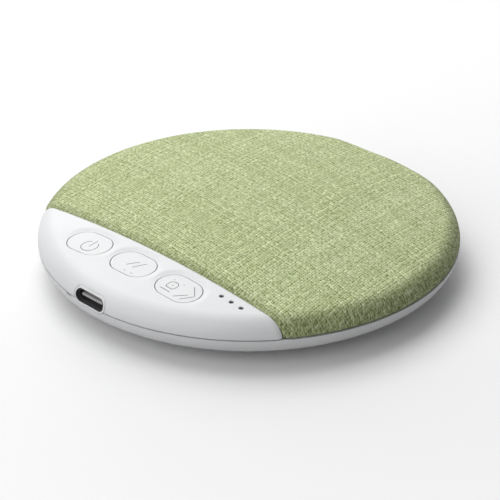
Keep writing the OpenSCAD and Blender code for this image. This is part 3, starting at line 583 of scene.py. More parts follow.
def frontFlat(form, places):
    # Unrolled points of the surface at places (x, z) of the front
    x, z = np.asarray(places, float).T
    r = rimRadius(form, z)
    turn = np.arccos(form.side * (z - parting) / form.edge)
    length = form.joinLength + form.edge * (turn - form.turn)
    return np.stack([x, -np.sqrt(r ** 2 - x ** 2)], 1) * (length / r)[:, None]


def cutOutline(form, cornerCount=14, sideCount=12):
    # The groove around the collar on one side of the parting line, from left to right
    side, (x, z) = form.side, portMiddle
    w, radius = portFlat / 2, portRadius + (port["collar"] + port["groove"])
    a = math.asin((parting + side * caseForm["grooveHalf"] - z) / radius)
    left = np.linspace(math.pi - a, math.pi - side * math.pi / 2, cornerCount)
    right = np.linspace(side * math.pi / 2, a, cornerCount)
    points = [(x - w + radius * math.cos(t), z + radius * math.sin(t)) for t in left]
    points += [(x - w + 2 * w * k / sideCount, z + side * radius) for k in range(1, sideCount)]
    points += [(x + w + radius * math.cos(t), z + radius * math.sin(t)) for t in right]
    return frontFlat(form, points)


# Front panel, with the openings for the buttons, the lights and the port
panel = {
    "thickness": 2.4, "edgeRound": 0.1, "meshStep": 0.75, "rings": (0.22, 0.5, 0.85, 1.25, 1.6),
    "dishFront": 0.06, "dishBack": 0.34, "dishWidth": 1.7,
    "borderDepth": 0.3, "borderWidth": 0.8,
    "buttonGap": 0.17, "lightHole": 1.1, "lightBodyHalf": 0.8,
}
button = {"flangeWidth": 0.9, "frontSink": 0.12, "backSink": 0.3, "edgeRound": 0.08, "meshStep": 0.5,
          "thickness": 2.0}
buttonNames = ("left", "middle", "right")
buttonBoxes = [nodeBox("button_" + side) for side in buttonNames]
buttonCentres = [box.mean(0)[:2] for box in buttonBoxes]
buttonWidth, buttonHeight = np.ptp(buttonBoxes[0], 0)[:2]
buttonRadius = buttonHeight / 2 - button["flangeWidth"]
buttonFlat = buttonWidth - buttonHeight
lightBox = nodeBox("status_lights")
lightY = lightBox.mean(0)[1]
lightSpan = np.ptp(lightBox, 0)[0] - 2 * panel["lightBodyHalf"]
lightXs = [lightBox[0, 0] + panel["lightBodyHalf"] + k * lightSpan / 2 for k in range(3)]


def buttonLoop(centre, grow=0.0):
    return stadiumLoop(centre, buttonFlat, buttonRadius, grow)


openingLoops = [unrolled(buttonLoop(centre, panel["buttonGap"])) for centre in buttonCentres]
lightLoops = [unrolled(circleLoop((x, lightY), panel["lightHole"] / 2)) for x in lightXs]


def softStep(near, width):
    t = np.clip(near / width, 0, 1)
    return (1 - t) ** 2 * (1 + 2 * t)


def planY(flat):
    return onSkin(upper, flat)[0][:, 1]


def frontToBack(flat, front, back):
    # From one depth at the front of a button to another at its back
    t = np.clip(0.5 + 0.5 * (planY(flat) - buttonCentres[0][1]) / buttonRadius, 0, 1)
    return front + (back - front) * (t * t * (3 - 2 * t))


def capDepth(flat):
    return frontToBack(flat, button["frontSink"], button["backSink"])


def panelRelief(flat):
    # A soft dish around each button, deepest behind it, and a slope down to the cloth along the border
    dish = frontToBack(flat, panel["dishFront"], panel["dishBack"])
    toBorder = np.maximum(caseForm["borderY"] - planY(flat), 0)
    return (dish * softStep(gapTo(flat, openingLoops), panel["dishWidth"])
            + panel["borderDepth"] * softStep(toBorder, panel["borderWidth"]))


border = chord(caseForm["borderY"], upper.end)
cut = cutOutline(upper)
panelLoop = np.concatenate([arcLine(upper.end, border[0], cut[0]), cut[1:-1],
                            arcLine(upper.end, cut[-1], border[-1]), border[::-1][1:-1]])
panelShell = skinSolid("panelShell", upper, panelLoop, panel, openingLoops + lightLoops, panelRelief)
dress(panelShell, "housing_plastic", "top_housing")
print("panel shell:", len(panelShell.data.polygons), "faces")

# Shell under the fabric, open over the loudspeaker
deck = {"depth": 0.6, "thickness": 2.4, "meshStep": 2.2, "edgeRound": 0.1, "openingRadius": 16.3,
        "borderGap": 0.8, "rimGap": 0.5, "pointStep": 1.5}
deckLine = chord(caseForm["borderY"] + deck["borderGap"], upper.end - deck["rimGap"], deck["pointStep"])
deckLoop = closedBehind(deckLine, upper.end - deck["rimGap"], deck["pointStep"])
deckOpening = unrolled(circleLoop((0, nodeBox("cone").mean(0)[1]), deck["openingRadius"], count=72))
deckShell = skinSolid("deckShell", upper, deckLoop, deck, [deckOpening], deck["depth"])
dress(deckShell, "housing_plastic")

# Woven cover, stretched over the crown and down to the groove, with its straight edge tucked in
cover = {"glued": 0.62, "tuck": 1.45, "tuckWidth": 0.42, "edgeRound": 0.55, "meshStep": 1.0,
         "rings": (0.2, 0.55, 0.95, 1.4), "gap": 0.05, "hem": 2.1, "rollDepth": 0.34, "rollWidth": 2.2,
         "seamLength": 80.0}
seamY = caseForm["borderY"] + cover["gap"]
seam = chord(seamY, upper.end)
seamReach = -float(seam[len(seam) // 2][1])        # From the axis to the seam along the surface
coverLoop = closedBehind(seam, upper.end)


def coverThickness(flat):
    return np.where(planY(flat) - seamY < cover["tuckWidth"], cover["tuck"], cover["glued"])


def coverRelief(flat):
    # The cloth rolls down towards its straight border
    return cover["rollDepth"] * softStep(np.maximum(planY(flat) - seamY, 0), cover["rollWidth"])


cover["thickness"] = coverThickness
fabricCover = skinSolid("fabricCover", upper, coverLoop, cover, relief=coverRelief)
dress(fabricCover, "fabric", "fabric_cover")

# Lower shell, with a notch for prying it open and round pockets for the feet
base = {"thickness": 1.6, "edgeRound": 0.1, "meshStep": 1.3, "footGap": 0.1}
foot = {"radius": 4.0, "top": 1.6, "topChamfer": 0.05, "edgeRound": 0.4, "dimple": 1.7, "dimpleDepth": 0.3,
        "groove": 2.65, "grooveDepth": 0.2}
rimZ = parting - caseForm["grooveHalf"]
cut = cutOutline(lower)
notchEnds = [port["notchX"] + side * port["notchWidth"] / 2 for side in (-1, 1)]
notch = frontFlat(lower, [(notchEnds[0], rimZ), (notchEnds[0], rimZ - port["notchDepth"]),
                          (notchEnds[1], rimZ - port["notchDepth"]), (notchEnds[1], rimZ)])
rim = np.concatenate([arcLine(lower.end, cut[-1], notch[0], 1), notch[1:3],
                      arcLine(lower.end, notch[3], cut[0], 2), cut[1:-1]])
footX, footY = (float(v) - foot["radius"] for v in nodeBox("rubber_feet")[1, :2])
pockets = [circleLoop((sx * footX, sy * footY), foot["radius"] + base["footGap"], count=48)
           for sx in (-1, 1) for sy in (-1, 1)]
lowerShell = skinSolid("lowerShell", lower, rim, base, pockets)
dress(lowerShell, "base_plastic", "lower_shell")
lip = {"outer": 47.45, "inner": 46.65, "low": 5.6, "step": 7.4, "high": 8.55, "foot": 48.45}
lipProfile = [(lip[r], lip[z]) for r, z in (("inner", "low"), ("foot", "low"), ("foot", "step"),
                                            ("outer", "step"), ("outer", "high"), ("inner", "high"))]
lowerLip = latheSolid("lowerLip", lipProfile)
dress(lowerLip, "base_plastic")
print("lower shell:", len(lowerShell.data.polygons), "faces")


def roundedEdge(radius):
    # How far in and how far back the points of a rounded edge lie
    turns = np.radians([0, 22.5, 45, 67.5, 90])
    return [(radius * (1 - math.cos(a)), radius * (1 - math.sin(a))) for a in turns]


def collarPiece():
    # Collar of the port, and which of its faces take black as painted shade: its inner wall and its back
    width, depth = port["collar"], port["collarDepth"]
    inner = roundedEdge(port["collarRound"])
    rows = [(0.0, depth)] + inner + [(width - into, back) for into, back in inner[::-1]] + [(width, depth)]
    verts = []
    for grow, back in rows:
        x, z = stadiumLoop(portMiddle, portFlat, portRadius, grow, port["endCount"]).T
        r = np.where(z > parting, rimRadius(upper, z), caseForm["radius"] - port["lowSink"])
        r = np.minimum(r, caseForm["radius"] - port["collarSink"])
        verts.append(np.stack([x, -np.sqrt(r ** 2 - x ** 2) + back, z], 1))
    n, m = len(verts[0]), len(rows)
    piece = makeMesh("portCollar", np.concatenate(verts), bands(n, m, True), sharpAngle=50)
    return piece, [1] * n + [0] * (n * (m - 2)) + [1] * n


portCollar, collarShadeFaces = collarPiece()
dress(portCollar, "housing_plastic")

# Tongue of the socket, with a row of contact strips above and below
tongue = {"setBack": 1.42, "width": 6.7, "thickness": 0.7, "backY": -41.8, "edge": 0.1,
          "base": (7.1, 1.8, 2.5), "strips": 12, "stripPitch": 0.5, "stripSize": (0.26, 3.4, 0.08),
          "stripEdge": 0.02, "stripY": -46.1}
bladeSize = (tongue["width"], caseForm["radius"] - tongue["setBack"] + tongue["backY"], tongue["thickness"])
blade = bar("blade", bladeSize, portMiddle, tongue["backY"], tongue["edge"])
block = bar("block", tongue["base"], portMiddle, tongue["backY"], tongue["edge"])
socketTongue = joinPieces("socketTongue", [blade, block])
dress(socketTongue, "tongue_plastic", "usb_tongue")
strip = bar("strip", tongue["stripSize"], (0, 0), tongue["stripSize"][1] / 2, tongue["stripEdge"])
socketContacts = copiesOf("socketContacts", strip, {
    "Columns": tongue["strips"], "Rows": 2, "Width": (tongue["strips"] - 1) * tongue["stripPitch"] * mm,
    "Depth": tongue["thickness"] * mm, "Middle": (port["x"] * mm, tongue["stripY"] * mm, port["z"] * mm),
    "Grid Turn": (math.pi / 2, 0.0, 0.0), "Own Turn": 0.0, "Seed": 3})
dress(socketContacts, "copper")
print("socket contacts:", len(socketContacts.data.polygons), "faces")

# Rubber feet with a dimple, a grip ring and rounded edges
dimpleEdge = [(-0.3, foot["dimpleDepth"]), (-0.1, foot["dimpleDepth"] - 0.08), (0, 0.06), (0.08, 0)]
gripSide = [(0.235, 0), (0.175, 0.05), (0.08, foot["grooveDepth"])]       # Half width and depth
footEdge = [(foot["radius"] - back, into) for into, back in roundedEdge(foot["edgeRound"])]
footProfile = [(0, foot["dimpleDepth"])] + [(foot["dimple"] + out, z) for out, z in dimpleEdge]
footProfile += [(foot["groove"] - half, z) for half, z in gripSide]
footProfile += [(foot["groove"] + half, z) for half, z in gripSide[::-1]]
footProfile += footEdge + [(foot["radius"], foot["top"] - foot["topChamfer"]),
                           (foot["radius"] - foot["topChamfer"], foot["top"]), (0, foot["top"])]
footPads = copiesOf("footPads", latheSolid("foot", footProfile, count=72), {
    "Columns": 2, "Rows": 2, "Width": 2 * footX * mm, "Depth": 2 * footY * mm,
    "Middle": (0.0, 0.0, 0.0), "Grid Turn": (0.0, 0.0, 0.0), "Own Turn": 6.28, "Seed": 7})
dress(footPads, "foot_rubber", "rubber_feet")
print("feet:", len(footPads.data.polygons), "faces")

# Corrugated cloth ring around the voice coil, made in its rest shape; the real ring flattens when the cone
# travels
spider = {"inner": 6.4, "hub": 0.4, "waves": 3, "swing": 0.3, "thickness": 0.15, "rimWidth": 1.3, "steps": 48,
          "count": 96, "keep": 0.12}
box = nodeBox("spider")
outer, top = np.ptp(box, 0)[0] / 2, box[1, 2]
steps = np.linspace(0, 1, spider["steps"] + 1)
waveWidth = outer - spider["inner"] - spider["hub"] - spider["rimWidth"]
wave = np.stack([spider["inner"] + spider["hub"] + steps * waveWidth,
                 top - spider["swing"] * (1 - np.cos(2 * math.pi * spider["waves"] * steps))], 1)
topLine = np.array([(spider["inner"], top), *wave, (outer, top)])
spiderProfile = np.concatenate([topLine, topLine[::-1] - (0, spider["thickness"])])
spiderRing = latheSolid("spiderRing", spiderProfile, spider["count"], box.mean(0)[:2])
dress(spiderRing, "spider_cloth", "spider")
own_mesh(spiderRing)
print("spider ring:", len(spiderRing.data.polygons), "faces")

# Button caps with their flange and stem
stem = {"radius": 1.5, "flangeHigh": 11.95, "flangeLow": 11.25}
for side, box, centre in zip(buttonNames, buttonBoxes, buttonCentres):
    cap = skinSolid("cap", upper, unrolled(buttonLoop(centre)), button, relief=capDepth)
    flange = prism("flange", buttonLoop(centre, button["flangeWidth"]), stem["flangeLow"], stem["flangeHigh"])
    post = prism("post", circleLoop(centre, stem["radius"]), box[0, 2], stem["flangeLow"])
    cap = joinPieces("button" + side.capitalize(), [cap, flange, post])
    dress(cap, "housing_plastic", "button_" + side, "button_" + side + "_set")
print("buttons made")

# Pictograms: thin printed strokes on the caps, as plan points, and dots with their radius
icon = {"width": 0.17, "proud": 0.012, "sink": 0.02, "pointStep": 0.2, "endCount": 6,
        "ring": {"start": 122, "stop": 418, "num": 28}}
ringTurns = np.radians(np.linspace(**icon["ring"]))
drawn = {
    "left": ([arcAt((-14.4, -37.5), 2.05, ringTurns), [(-14.4, -37.6), (-14.4, -34.9)]], []),
    "middle": ([[(-1.5, -37.66), (-0.75, -36.5), (0.22, -35.29)],
                [(0.39, -37.72), (1.15, -36.2), (2.03, -34.85)]],
               [((-0.22, -39.6), 0.15), ((1.93, -39.5), 0.15)]),
    "right": ([[(10.98, -38.98), (13.9, -38.98)],
               [(11.7, -37.95), (13.5, -37.95), (13.9, -37.45), (13.9, -36.2), (13.2, -35.5), (12.1, -35.5),
                (11.4, -36.1), (11.4, -37.5), (11.7, -37.95)],
               [(15.74, -39.44), (17.86, -37.06)], [(17.55, -39.29), (19.35, -36.61)],
               [(16.86, -34.04), (19.29, -36.38)]],
              [((12.7, -36.75), 0.15), ((11.4, -35.0), 0.12), ((14.5, -35.0), 0.12)]),
}


def strokeLoop(points):
    # Outline of a stroke with round ends
    points = spread(points, icon["pointStep"])
    side = leftOf(np.gradient(points, axis=0))
    ahead = np.stack([side[:, 1], -side[:, 0]], 1)
    half = icon["width"] / 2
    turns = np.linspace(0, math.pi, icon["endCount"])[1:-1, None]
    tip, tail = [points[end] + sign * half * (side[end] * np.cos(turns) + ahead[end] * np.sin(turns))
                 for end, sign in ((-1, 1), (0, -1))]
    return np.concatenate([points + side * half, tip, (points - side * half)[::-1], tail])[::-1]


def pictogram(name, lines, dots):
    loops = [strokeLoop(points) for points in lines] + [circleLoop(centre, r, count=16) for centre, r in dots]
    verts, faces, start = [], [], 0
    for loop in loops:
        flat, n = unrolled(loop), len(loop)
        verts.append(onSkin(upper, flat, capDepth(flat) - icon["proud"])[0])
        verts.append(onSkin(upper, flat, capDepth(flat) + icon["sink"])[0])
        order = list(range(start, start + n))[::1 if loopArea(loop) > 0 else -1]
        faces += [tuple(order), tuple(n + i for i in order[::-1])]
        faces += [(order[i - 1], n + order[i - 1], n + order[i], order[i]) for i in range(n)]
        start += 2 * n
    return makeMesh(name, np.concatenate(verts), faces, smooth=False)


for side in buttonNames:
    piece = pictogram("icon" + side.capitalize(), *drawn[side])
    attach(piece, "button_" + side + "_set")
    worn.append((piece, "print_ink"))
print("pictograms made")


# Materials
def newGroup(name, inputs, outputs):
    # A shader group with a Vector, further values with their defaults, and plain outputs
    group = bpy.data.node_groups.new(name, "ShaderNodeTree")
    addSocket(group, "Vector", "Vector")
    for label, value in inputs.items():
        kind = "Vector" if isinstance(value, tuple) else "Float"
        addSocket(group, label, kind).default_value = value
    for label in outputs:
        addSocket(group, label, "Float", "OUTPUT")
    t, given = Wiring(group), group.nodes.new("NodeGroupInput").outputs
    inMm = t.vector("SCALE", given["Vector"], 1 / mm)
    return t, given, group.nodes.new("NodeGroupOutput"), inMm


grainForm = {"fineDetail": 2.0, "fineShare": 0.6, "cellShare": 0.4, "driftScale": 0.05, "driftDetail": 3.0,
             "toneLow": 0.12, "toneHigh": 0.4, "depthShare": 0.3}


def grainGroup():
    # Fine moulded or cast grain with a slow drift of tone, on coordinates in metres
    t, given, out, inMm = newGroup("SurfaceGrain", {"Grain Size": 0.3, "Stretch": (1, 1, 1)},
                                   ("Tone", "Height", "Drift"))
    pulled = t.vector("MULTIPLY", inMm, given["Stretch"])
    scale = t.calc("DIVIDE", 1.0, given["Grain Size"])
    fine = t.noise(pulled, scale, grainForm["fineDetail"])[0]
    cells = t.node("ShaderNodeTexVoronoi", {"Vector": pulled, "Scale": scale}).outputs["Distance"]
    height = t.line(cells, grainForm["cellShare"], t.times(fine, grainForm["fineShare"]))
    drift = t.noise(inMm, grainForm["driftScale"], grainForm["driftDetail"])[0]
    t.feed(out, {"Tone": fine, "Height": height, "Drift": drift})
    return t.tree


# Threads of the weave: along is measured in threads, and the tone and height run from 0 to 1
threadForm = {"wobbleScale": 0.5, "wobbleReach": 6.0, "slubAlong": 0.32, "slubThins": -2.2,
              "fibreAcross": 2.3, "fibreAlong": 0.7, "bow": 0.28, "body": 0.7, "ownTone": 0.2,
              "slubTone": 0.35, "baseTone": 0.22, "evenLevel": 0.68, "unevenTone": 0.6,
              "mottleScale": 0.16, "slubSeed": 3.0, "fibreSeed": 7.0, "toneSeed": 40.0}


def weaveGroup():
    # Plain weave on flat coordinates in metres: threads and their crossings differ in tone and thickness
    look = threadForm
    t, given, out, inMm = newGroup("PlainWeave", {"Pitch": 0.65, "Wobble": 0.1, "Thin": 3.1, "Uneven": 0.4,
                                                  "Shear": 0.0, "Stray": 0.2, "Even": 0.5, "Dash": 0.8},
                                   ("Height", "Tone", "Mottle"))
    centred = t.vector("SUBTRACT", t.noise(inMm, look["wobbleScale"], 2.0)["Color"], (0.5, 0.5, 0.5))
    cells = t.vector("SCALE", inMm, t.calc("DIVIDE", 1.0, given["Pitch"]))
    wobble = t.vector("SCALE", centred, t.times(given["Wobble"], look["wobbleReach"]))
    straight = t.parts(t.vector("ADD", cells, wobble))
    leaning = [t.line(straight[1 - k], given["Shear"], straight[k]) for k in (0, 1)]
    spot = t.hashed("2D", {"Vector": t.vector("FLOOR", t.joined(*leaning))})
    threads = []
    for across, along, sign in ((*leaning, 1.0), (*leaning[::-1], -1.0)):
        index = t.calc("FLOOR", across)
        lump = t.joined(index, t.times(along, look["slubAlong"]), look["slubSeed"] + sign)
        hair = t.joined(t.times(across, look["fibreAcross"]), t.times(along, look["fibreAlong"]),
                        look["fibreSeed"] + sign)
        slub, fibre = t.noise(lump, 1.0, 2.0)[0], t.noise(hair, 1.0, 1.0)[0]
        own = t.hashed("1D", {"W": t.calc("ADD", index, look["toneSeed"] * sign)})
        beside = t.line(own, given["Stray"], t.line(given["Stray"], -0.5, 0.5))
        offset = t.calc("SUBTRACT", t.calc("FRACT", across), beside)
        narrow = t.line(slub, look["slubThins"], given["Thin"])
        fall = t.calc("POWER", t.calc("ABSOLUTE", t.times(offset, narrow)), 2.0)
        section = t.calc("SQRT", t.calc("MAXIMUM", t.calc("SUBTRACT", 1.0, fall), 0.0))
        parity = t.line(t.calc("FLOORED_MODULO", index, 2.0), -2.0, 1.0)
        bow = t.times(t.calc("SINE", t.times(along, math.pi)), t.times(parity, sign))
        height = t.line(bow, look["bow"], t.times(section, look["body"]))
        slubTone = t.line(slub, look["slubTone"], look["baseTone"])
        threads.append((height, t.line(own, look["ownTone"], slubTone), fibre))
    warp, weft = threads
    level = t.mixed(given["Even"], t.calc("MAXIMUM", warp[0], weft[0]), look["evenLevel"])
    tone = t.mixed(t.calc("GREATER_THAN", warp[0], weft[0]), weft[1], warp[1])
    spots = t.times(t.calc("SUBTRACT", spot, 0.5), given["Uneven"])
    fibres = t.calc("SUBTRACT", t.calc("ADD", warp[2], weft[2]), 1.0)
    uneven = t.calc("ADD", spots, t.times(fibres, given["Dash"]))
    t.feed(out, {"Height": t.calc("ADD", level, uneven),
                 "Tone": t.line(uneven, look["unevenTone"], tone),
                 "Mottle": t.noise(inMm, look["mottleScale"], 3.0)[0]})
    return t.tree


def combedGroup(alongScale=0.85):
    # Threads that run straight over the round rim and over the border, on the same flat coordinates
    t, given, out, inMm = newGroup("CombedThreads", {"Spacing": 0.6, "Rim Start": 43.0, "Rim Width": 4.0,
                                                     "Border": 29.8, "Border Width": 2.0}, ("Tone", "Mask"))
    density = t.calc("DIVIDE", 1.0, given["Spacing"])
    length = t.vector("LENGTH", inMm)
    around = t.vector("SCALE", t.vector("NORMALIZE", inMm), t.times(density, given["Rim Start"]))
    rimAt = t.vector("ADD", around, t.joined(z=t.times(length, alongScale)))
    x, y, _ = t.parts(inMm)
    borderAt = t.joined(t.times(x, density), t.times(y, alongScale))
    rimTone, borderTone = [t.noise(at, 1.0, 1.0)[0] for at in (rimAt, borderAt)]
    rimEnd = t.calc("ADD", given["Rim Start"], given["Rim Width"])
    rimMask = t.mapped(length, given["Rim Start"], rimEnd, kind="SMOOTHSTEP")
    inside = t.calc("ADD", y, given["Border"])
    borderMask = t.mapped(inside, given["Border Width"], 0.0, kind="SMOOTHSTEP")
    t.feed(out, {"Tone": t.mixed(rimMask, borderTone, rimTone),
                 "Mask": t.calc("MAXIMUM", rimMask, borderMask)})
    return t.tree


grain = grainGroup()
combed = combedGroup()
weave = weaveGroup()


def newMaterial(name):
    mat = bpy.data.materials.new(name)
    mat.use_nodes = True
    return mat, Wiring(mat.node_tree), mat.node_tree.nodes["Principled BSDF"]


def finish(name, light, dark, rough, grainSize, bump, metallic=0.0, stretch=(1, 1, 1)):
    # A moulded, cast, painted or brushed finish from one row of user values
    mat, t, shader = newMaterial(name)
    place = t.node("ShaderNodeTexCoord").outputs["Object"]
    tone, height, drift = t.group(grain, {"Grain Size": grainSize, "Stretch": stretch, "Vector": place})
    light, dark = (*light, 1), (*dark, 1)
    share = t.mapped(t.times(tone, drift), grainForm["toneLow"], grainForm["toneHigh"])
    t.feed(shader, {"Base Color": t.blended(share, dark, light), "Metallic": metallic,
                    "Roughness": t.mapped(tone, 0.0, 1.0, *rough),
                    "Normal": t.bump(height, bump, grainSize * grainForm["depthShare"])})
    return mat


# Yarns in three tones over a dark gap colour, which paints shade where the weave lies low; comb values are
# for the threads over the rim and the border, and the comb's shade value paints shade there
fabricLook = {
    "weave": {"Pitch": 0.68, "Wobble": 0.2, "Thin": 3.4, "Uneven": 0.12, "Shear": 0.1, "Stray": 0.35,
              "Even": 0.1, "Dash": 0.65},
    "yarn": (0.63, 0.70, 0.38), "yarnLight": (0.92, 0.96, 0.66), "yarnDark": (0.46, 0.53, 0.23),
    "yarnStops": (0.25, 0.75), "gap": (0.11, 0.16, 0.035), "valleyShadeRange": (0.15, 0.8),
    "comb": {"Spacing": 0.38, "Rim Width": 3.5, "Border Width": 3.2}, "combLead": 0.5,
    "combTones": (0.3, 0.65), "combHeights": (0.0, 0.85), "combShare": 0.52, "combPaintedShade": 0.26,
    "mottle": 0.04, "mottleTones": (0.3, 0.7),
    "rough": 0.9, "specular": 0.15, "sheen": 0.1, "bump": 1.0, "depth": 0.2,
}


def fabricFinish(name, look):
    mat, t, shader = newMaterial(name)
    flat = t.node("ShaderNodeUVMap", uv_map="surface").outputs[0]
    cloth = t.group(weave, {**look["weave"], "Vector": flat})
    yarn = t.node("ShaderNodeValToRGB", {"Fac": cloth["Tone"]})
    stops = yarn.color_ramp.elements
    for stop, position, tone in zip(stops, look["yarnStops"], ("yarnDark", "yarnLight")):
        stop.position, stop.color = position, (*look[tone], 1)
    stops.new(0.5).color = (*look["yarn"], 1)
    run = t.group(combed, {**look["comb"], "Rim Start": upper.joinLength - look["combLead"],
                           "Border": seamReach, "Vector": flat})
    ribbed = t.mapped(run["Tone"], *look["combTones"], *look["combHeights"])
    height = t.mixed(t.times(run["Mask"], look["combShare"]), cloth["Height"], ribbed)
    # The threads darken towards the gap colour where the weave lies low: painted shade in its valleys and
    # along the threads' sloping edges
    colour = t.blended(t.mapped(height, *look["valleyShadeRange"]), (*look["gap"], 1), yarn.outputs[0])
    mottled = t.mapped(cloth["Mottle"], *look["mottleTones"], 1.0 - look["mottle"], 1.0 + look["mottle"])
    # The cloth is darkened over the rim and the border by the comb's shade value: painted shade where it
    # curves away from the light. The mottle is the yarn's own uneven tone
    mottleAndPaintedShade = t.times(mottled, t.line(run["Mask"], -look["combPaintedShade"], 1.0))
    t.feed(shader, {"Base Color": t.vector("SCALE", colour, mottleAndPaintedShade), "Roughness": look["rough"],
                    "Specular IOR Level": look["specular"], "Sheen Weight": look["sheen"],
                    "Normal": t.bump(height, look["bump"], look["depth"])})
    return mat


# Light tone, dark tone, roughness from and to, grain in mm, bump; then metallic and the grain's stretch
looks = {
    "housing_plastic": ((0.77, 0.782, 0.79), (0.72, 0.732, 0.74), (0.36, 0.5), 0.22, 0.12),
    "base_plastic": ((0.745, 0.75, 0.76), (0.69, 0.695, 0.705), (0.42, 0.55), 0.25, 0.15),
    "foam": ((0.05, 0.05, 0.055), (0.015, 0.015, 0.018), (0.85, 1.0), 0.6, 0.9),
    "grille_metal": ((0.09, 0.09, 0.095), (0.05, 0.05, 0.055), (0.5, 0.7), 0.25, 0.3),
    "black_plastic": ((0.035, 0.035, 0.038), (0.015, 0.015, 0.017), (0.4, 0.6), 0.2, 0.2),
    "switch_metal": ((0.75, 0.75, 0.76), (0.55, 0.55, 0.56), (0.22, 0.4), 0.2, 0.1, 1.0, (0.1, 1, 1)),
    "smoked_pipe": ((0.02, 0.02, 0.022), (0.01, 0.01, 0.011), (0.08, 0.16), 0.6, 0.03),
    "socket_metal": ((0.05, 0.05, 0.052), (0.025, 0.025, 0.027), (0.45, 0.6), 0.2, 0.1, 0.3),
    "led_body": ((0.85, 0.84, 0.62), (0.75, 0.72, 0.45), (0.15, 0.3), 0.4, 0.05),
    "tongue_plastic": ((0.46, 0.46, 0.47), (0.37, 0.37, 0.38), (0.35, 0.5), 0.2, 0.1),
    "board_laminate": ((0.03, 0.20, 0.09), (0.015, 0.11, 0.05), (0.3, 0.45), 0.5, 0.2),
    "ferrite": ((0.14, 0.14, 0.145), (0.07, 0.07, 0.075), (0.6, 0.8), 0.2, 0.4),
    "ceramic": ((0.55, 0.42, 0.28), (0.38, 0.28, 0.18), (0.35, 0.5), 0.3, 0.1),
    "copper": ((0.9, 0.6, 0.32), (0.7, 0.42, 0.2), (0.25, 0.45), 0.25, 0.1, 1.0),
    "connector_plastic": ((0.82, 0.80, 0.72), (0.72, 0.69, 0.6), (0.4, 0.55), 0.25, 0.15),
    "screw_steel": ((0.7, 0.7, 0.72), (0.5, 0.5, 0.52), (0.25, 0.42), 0.15, 0.15, 1.0, (1, 1, 0.2)),
    "battery_foil": ((0.78, 0.79, 0.8), (0.62, 0.63, 0.65), (0.28, 0.5), 0.9, 0.25, 0.9),
    "lead_insulation": ((0.42, 0.03, 0.03), (0.28, 0.015, 0.015), (0.35, 0.5), 0.3, 0.1),
    "magnet_steel": ((0.55, 0.55, 0.57), (0.38, 0.38, 0.4), (0.3, 0.5), 0.2, 0.2, 1.0),
    "coil_wire": ((0.8, 0.4, 0.2), (0.5, 0.2, 0.09), (0.25, 0.4), 0.12, 0.6, 1.0, (0.1, 0.1, 3)),
    "spider_cloth": ((0.62, 0.46, 0.26), (0.4, 0.28, 0.14), (0.8, 0.95), 0.25, 0.6),
    "cone_paper": ((0.045, 0.045, 0.047), (0.02, 0.02, 0.022), (0.7, 0.9), 0.5, 0.5),
    "surround_rubber": ((0.035, 0.035, 0.036), (0.02, 0.02, 0.021), (0.45, 0.6), 0.3, 0.1),
    "foot_rubber": ((0.06, 0.06, 0.063), (0.03, 0.03, 0.032), (0.65, 0.85), 0.25, 0.35),
    "print_ink": ((0.12, 0.12, 0.125), (0.07, 0.07, 0.075), (0.5, 0.65), 0.3, 0.1),
}
finishes = {name: finish(name, *look) for name, look in looks.items()}
finishes["fabric"] = fabricFinish("fabric", fabricLook)
slotOf = {row["node"]: row["material_slot"] for row in frame["record"]["subparts"]}


def paint(piece, mat):
    piece.data.materials.clear()
    piece.data.materials.append(mat)


for name, piece in nodes.items():
    paint(piece, finishes[slotOf[name]])
for piece, slot in worn:
    paint(piece, finishes[slot])
# The collar's inner wall and back are painted black plastic, standing in for the shade inside the port
# opening
portCollar.data.materials.append(finishes["black_plastic"])
portCollar.data.polygons.foreach_set("material_index", collarShadeFaces)
print("finishes made:", len(finishes))

# Floor, light and camera
stage = {
    "floorSize": 4.0, "floorTone": 0.62, "floorSeen": 1.0, "floorRough": 0.9, "floorSpecular": 0.1,
    "fadeStart": 0.06, "fadeEnd": 0.2, "worldLight": 0.16, "lampSize": 0.65, "lampAim": (0, 0, 0.01),
    "lamps": {"back": ((-0.429, 0.429, 0.35), 2.3), "high": ((-0.296, 0.0, 0.634), 3.15),
              "front": ((0.0, -0.606, 0.35), 1.88)},
}


def seenRays(t):
    # The rays that see the backdrop: straight from the camera, mirrored, or through something clear
    path = t.node("ShaderNodeLightPath").outputs
    notStraight = t.calc("MAXIMUM", path["Is Glossy Ray"], path["Is Transmission Ray"])
    return t.calc("MAXIMUM", path["Is Camera Ray"], notStraight)


def grey(tone):
    return (tone, tone, tone, 1)


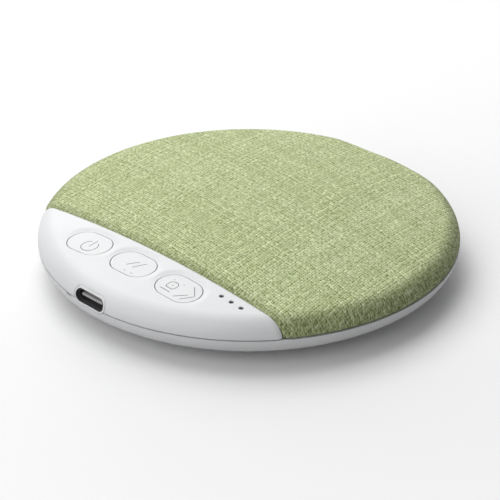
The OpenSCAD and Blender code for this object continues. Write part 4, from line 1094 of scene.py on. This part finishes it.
def makeFloor():
    # The floor is seen white and fades to plain white away from the object, and it keeps the shadow
    mat, t, shader = newMaterial("floor")
    seen = seenRays(t)
    t.feed(shader, {"Base Color": t.blended(seen, grey(stage["floorTone"]), grey(stage["floorSeen"])),
                    "Roughness": stage["floorRough"], "Specular IOR Level": stage["floorSpecular"]})
    away = t.vector("LENGTH", t.node("ShaderNodeTexCoord").outputs["Object"])
    fade = t.mapped(away, stage["fadeStart"], stage["fadeEnd"], kind="SMOOTHSTEP")
    white = t.node("ShaderNodeEmission", {"Color": grey(1), "Strength": 1.0})
    shares = {0: t.times(fade, seen), 1: shader.outputs[0], 2: white.outputs[0]}
    faded = t.node("ShaderNodeMixShader", shares)
    t.feed(mat.node_tree.nodes["Material Output"], {"Surface": faded.outputs[0]})
    half = stage["floorSize"] / 2 / mm
    corners = [(-half, -half, 0), (half, -half, 0), (half, half, 0), (-half, half, 0)]
    floor = makeMesh("floor", corners, [(0, 1, 2, 3)], smooth=False)
    paint(floor, mat)


makeFloor()
world = bpy.data.worlds.new("studio")
bpy.context.scene.world = world
world.use_nodes = True
t = Wiring(world.node_tree)
strength = t.mapped(seenRays(t), 0.0, 1.0, stage["worldLight"], 1.0)
t.feed(world.node_tree.nodes["Background"], {"Color": grey(1), "Strength": strength})


def aim(thing, forward):
    thing.rotation_mode = "QUATERNION"
    thing.rotation_quaternion = forward.to_track_quat("-Z", "Y")


for name, (place, power) in stage["lamps"].items():
    lamp = newObject(name, bpy.data.lights.new(name, "AREA"))
    lamp.data.energy = power
    lamp.data.size = stage["lampSize"]
    lamp.location = place
    aim(lamp, Vector(stage["lampAim"]) - Vector(place))

view = {"azimuth": 44.97, "elevation": 28.25, "distance": 562.8, "targetZ": 10.0,
        "camera": {"lens": 171.0, "sensor_width": 36.0, "shift_x": 0.0021, "shift_y": -0.0494,
                   "clip_start": 0.01, "clip_end": 10.0}}
azimuth, elevation = math.radians(view["azimuth"]), math.radians(view["elevation"])
forward = Vector((-math.sin(azimuth) * math.cos(elevation), math.cos(azimuth) * math.cos(elevation),
                  -math.sin(elevation)))
camera = newObject("camera", bpy.data.cameras.new("camera"))
for key, value in view["camera"].items():
    setattr(camera.data, key, value)
camera.location = Vector((0, 0, view["targetZ"] * mm)) - forward * view["distance"] * mm
aim(camera, forward)
bpy.context.scene.camera = camera
bpy.context.scene.view_settings.view_transform = "Standard"

bpy.context.view_layer.update()
print("scene made")
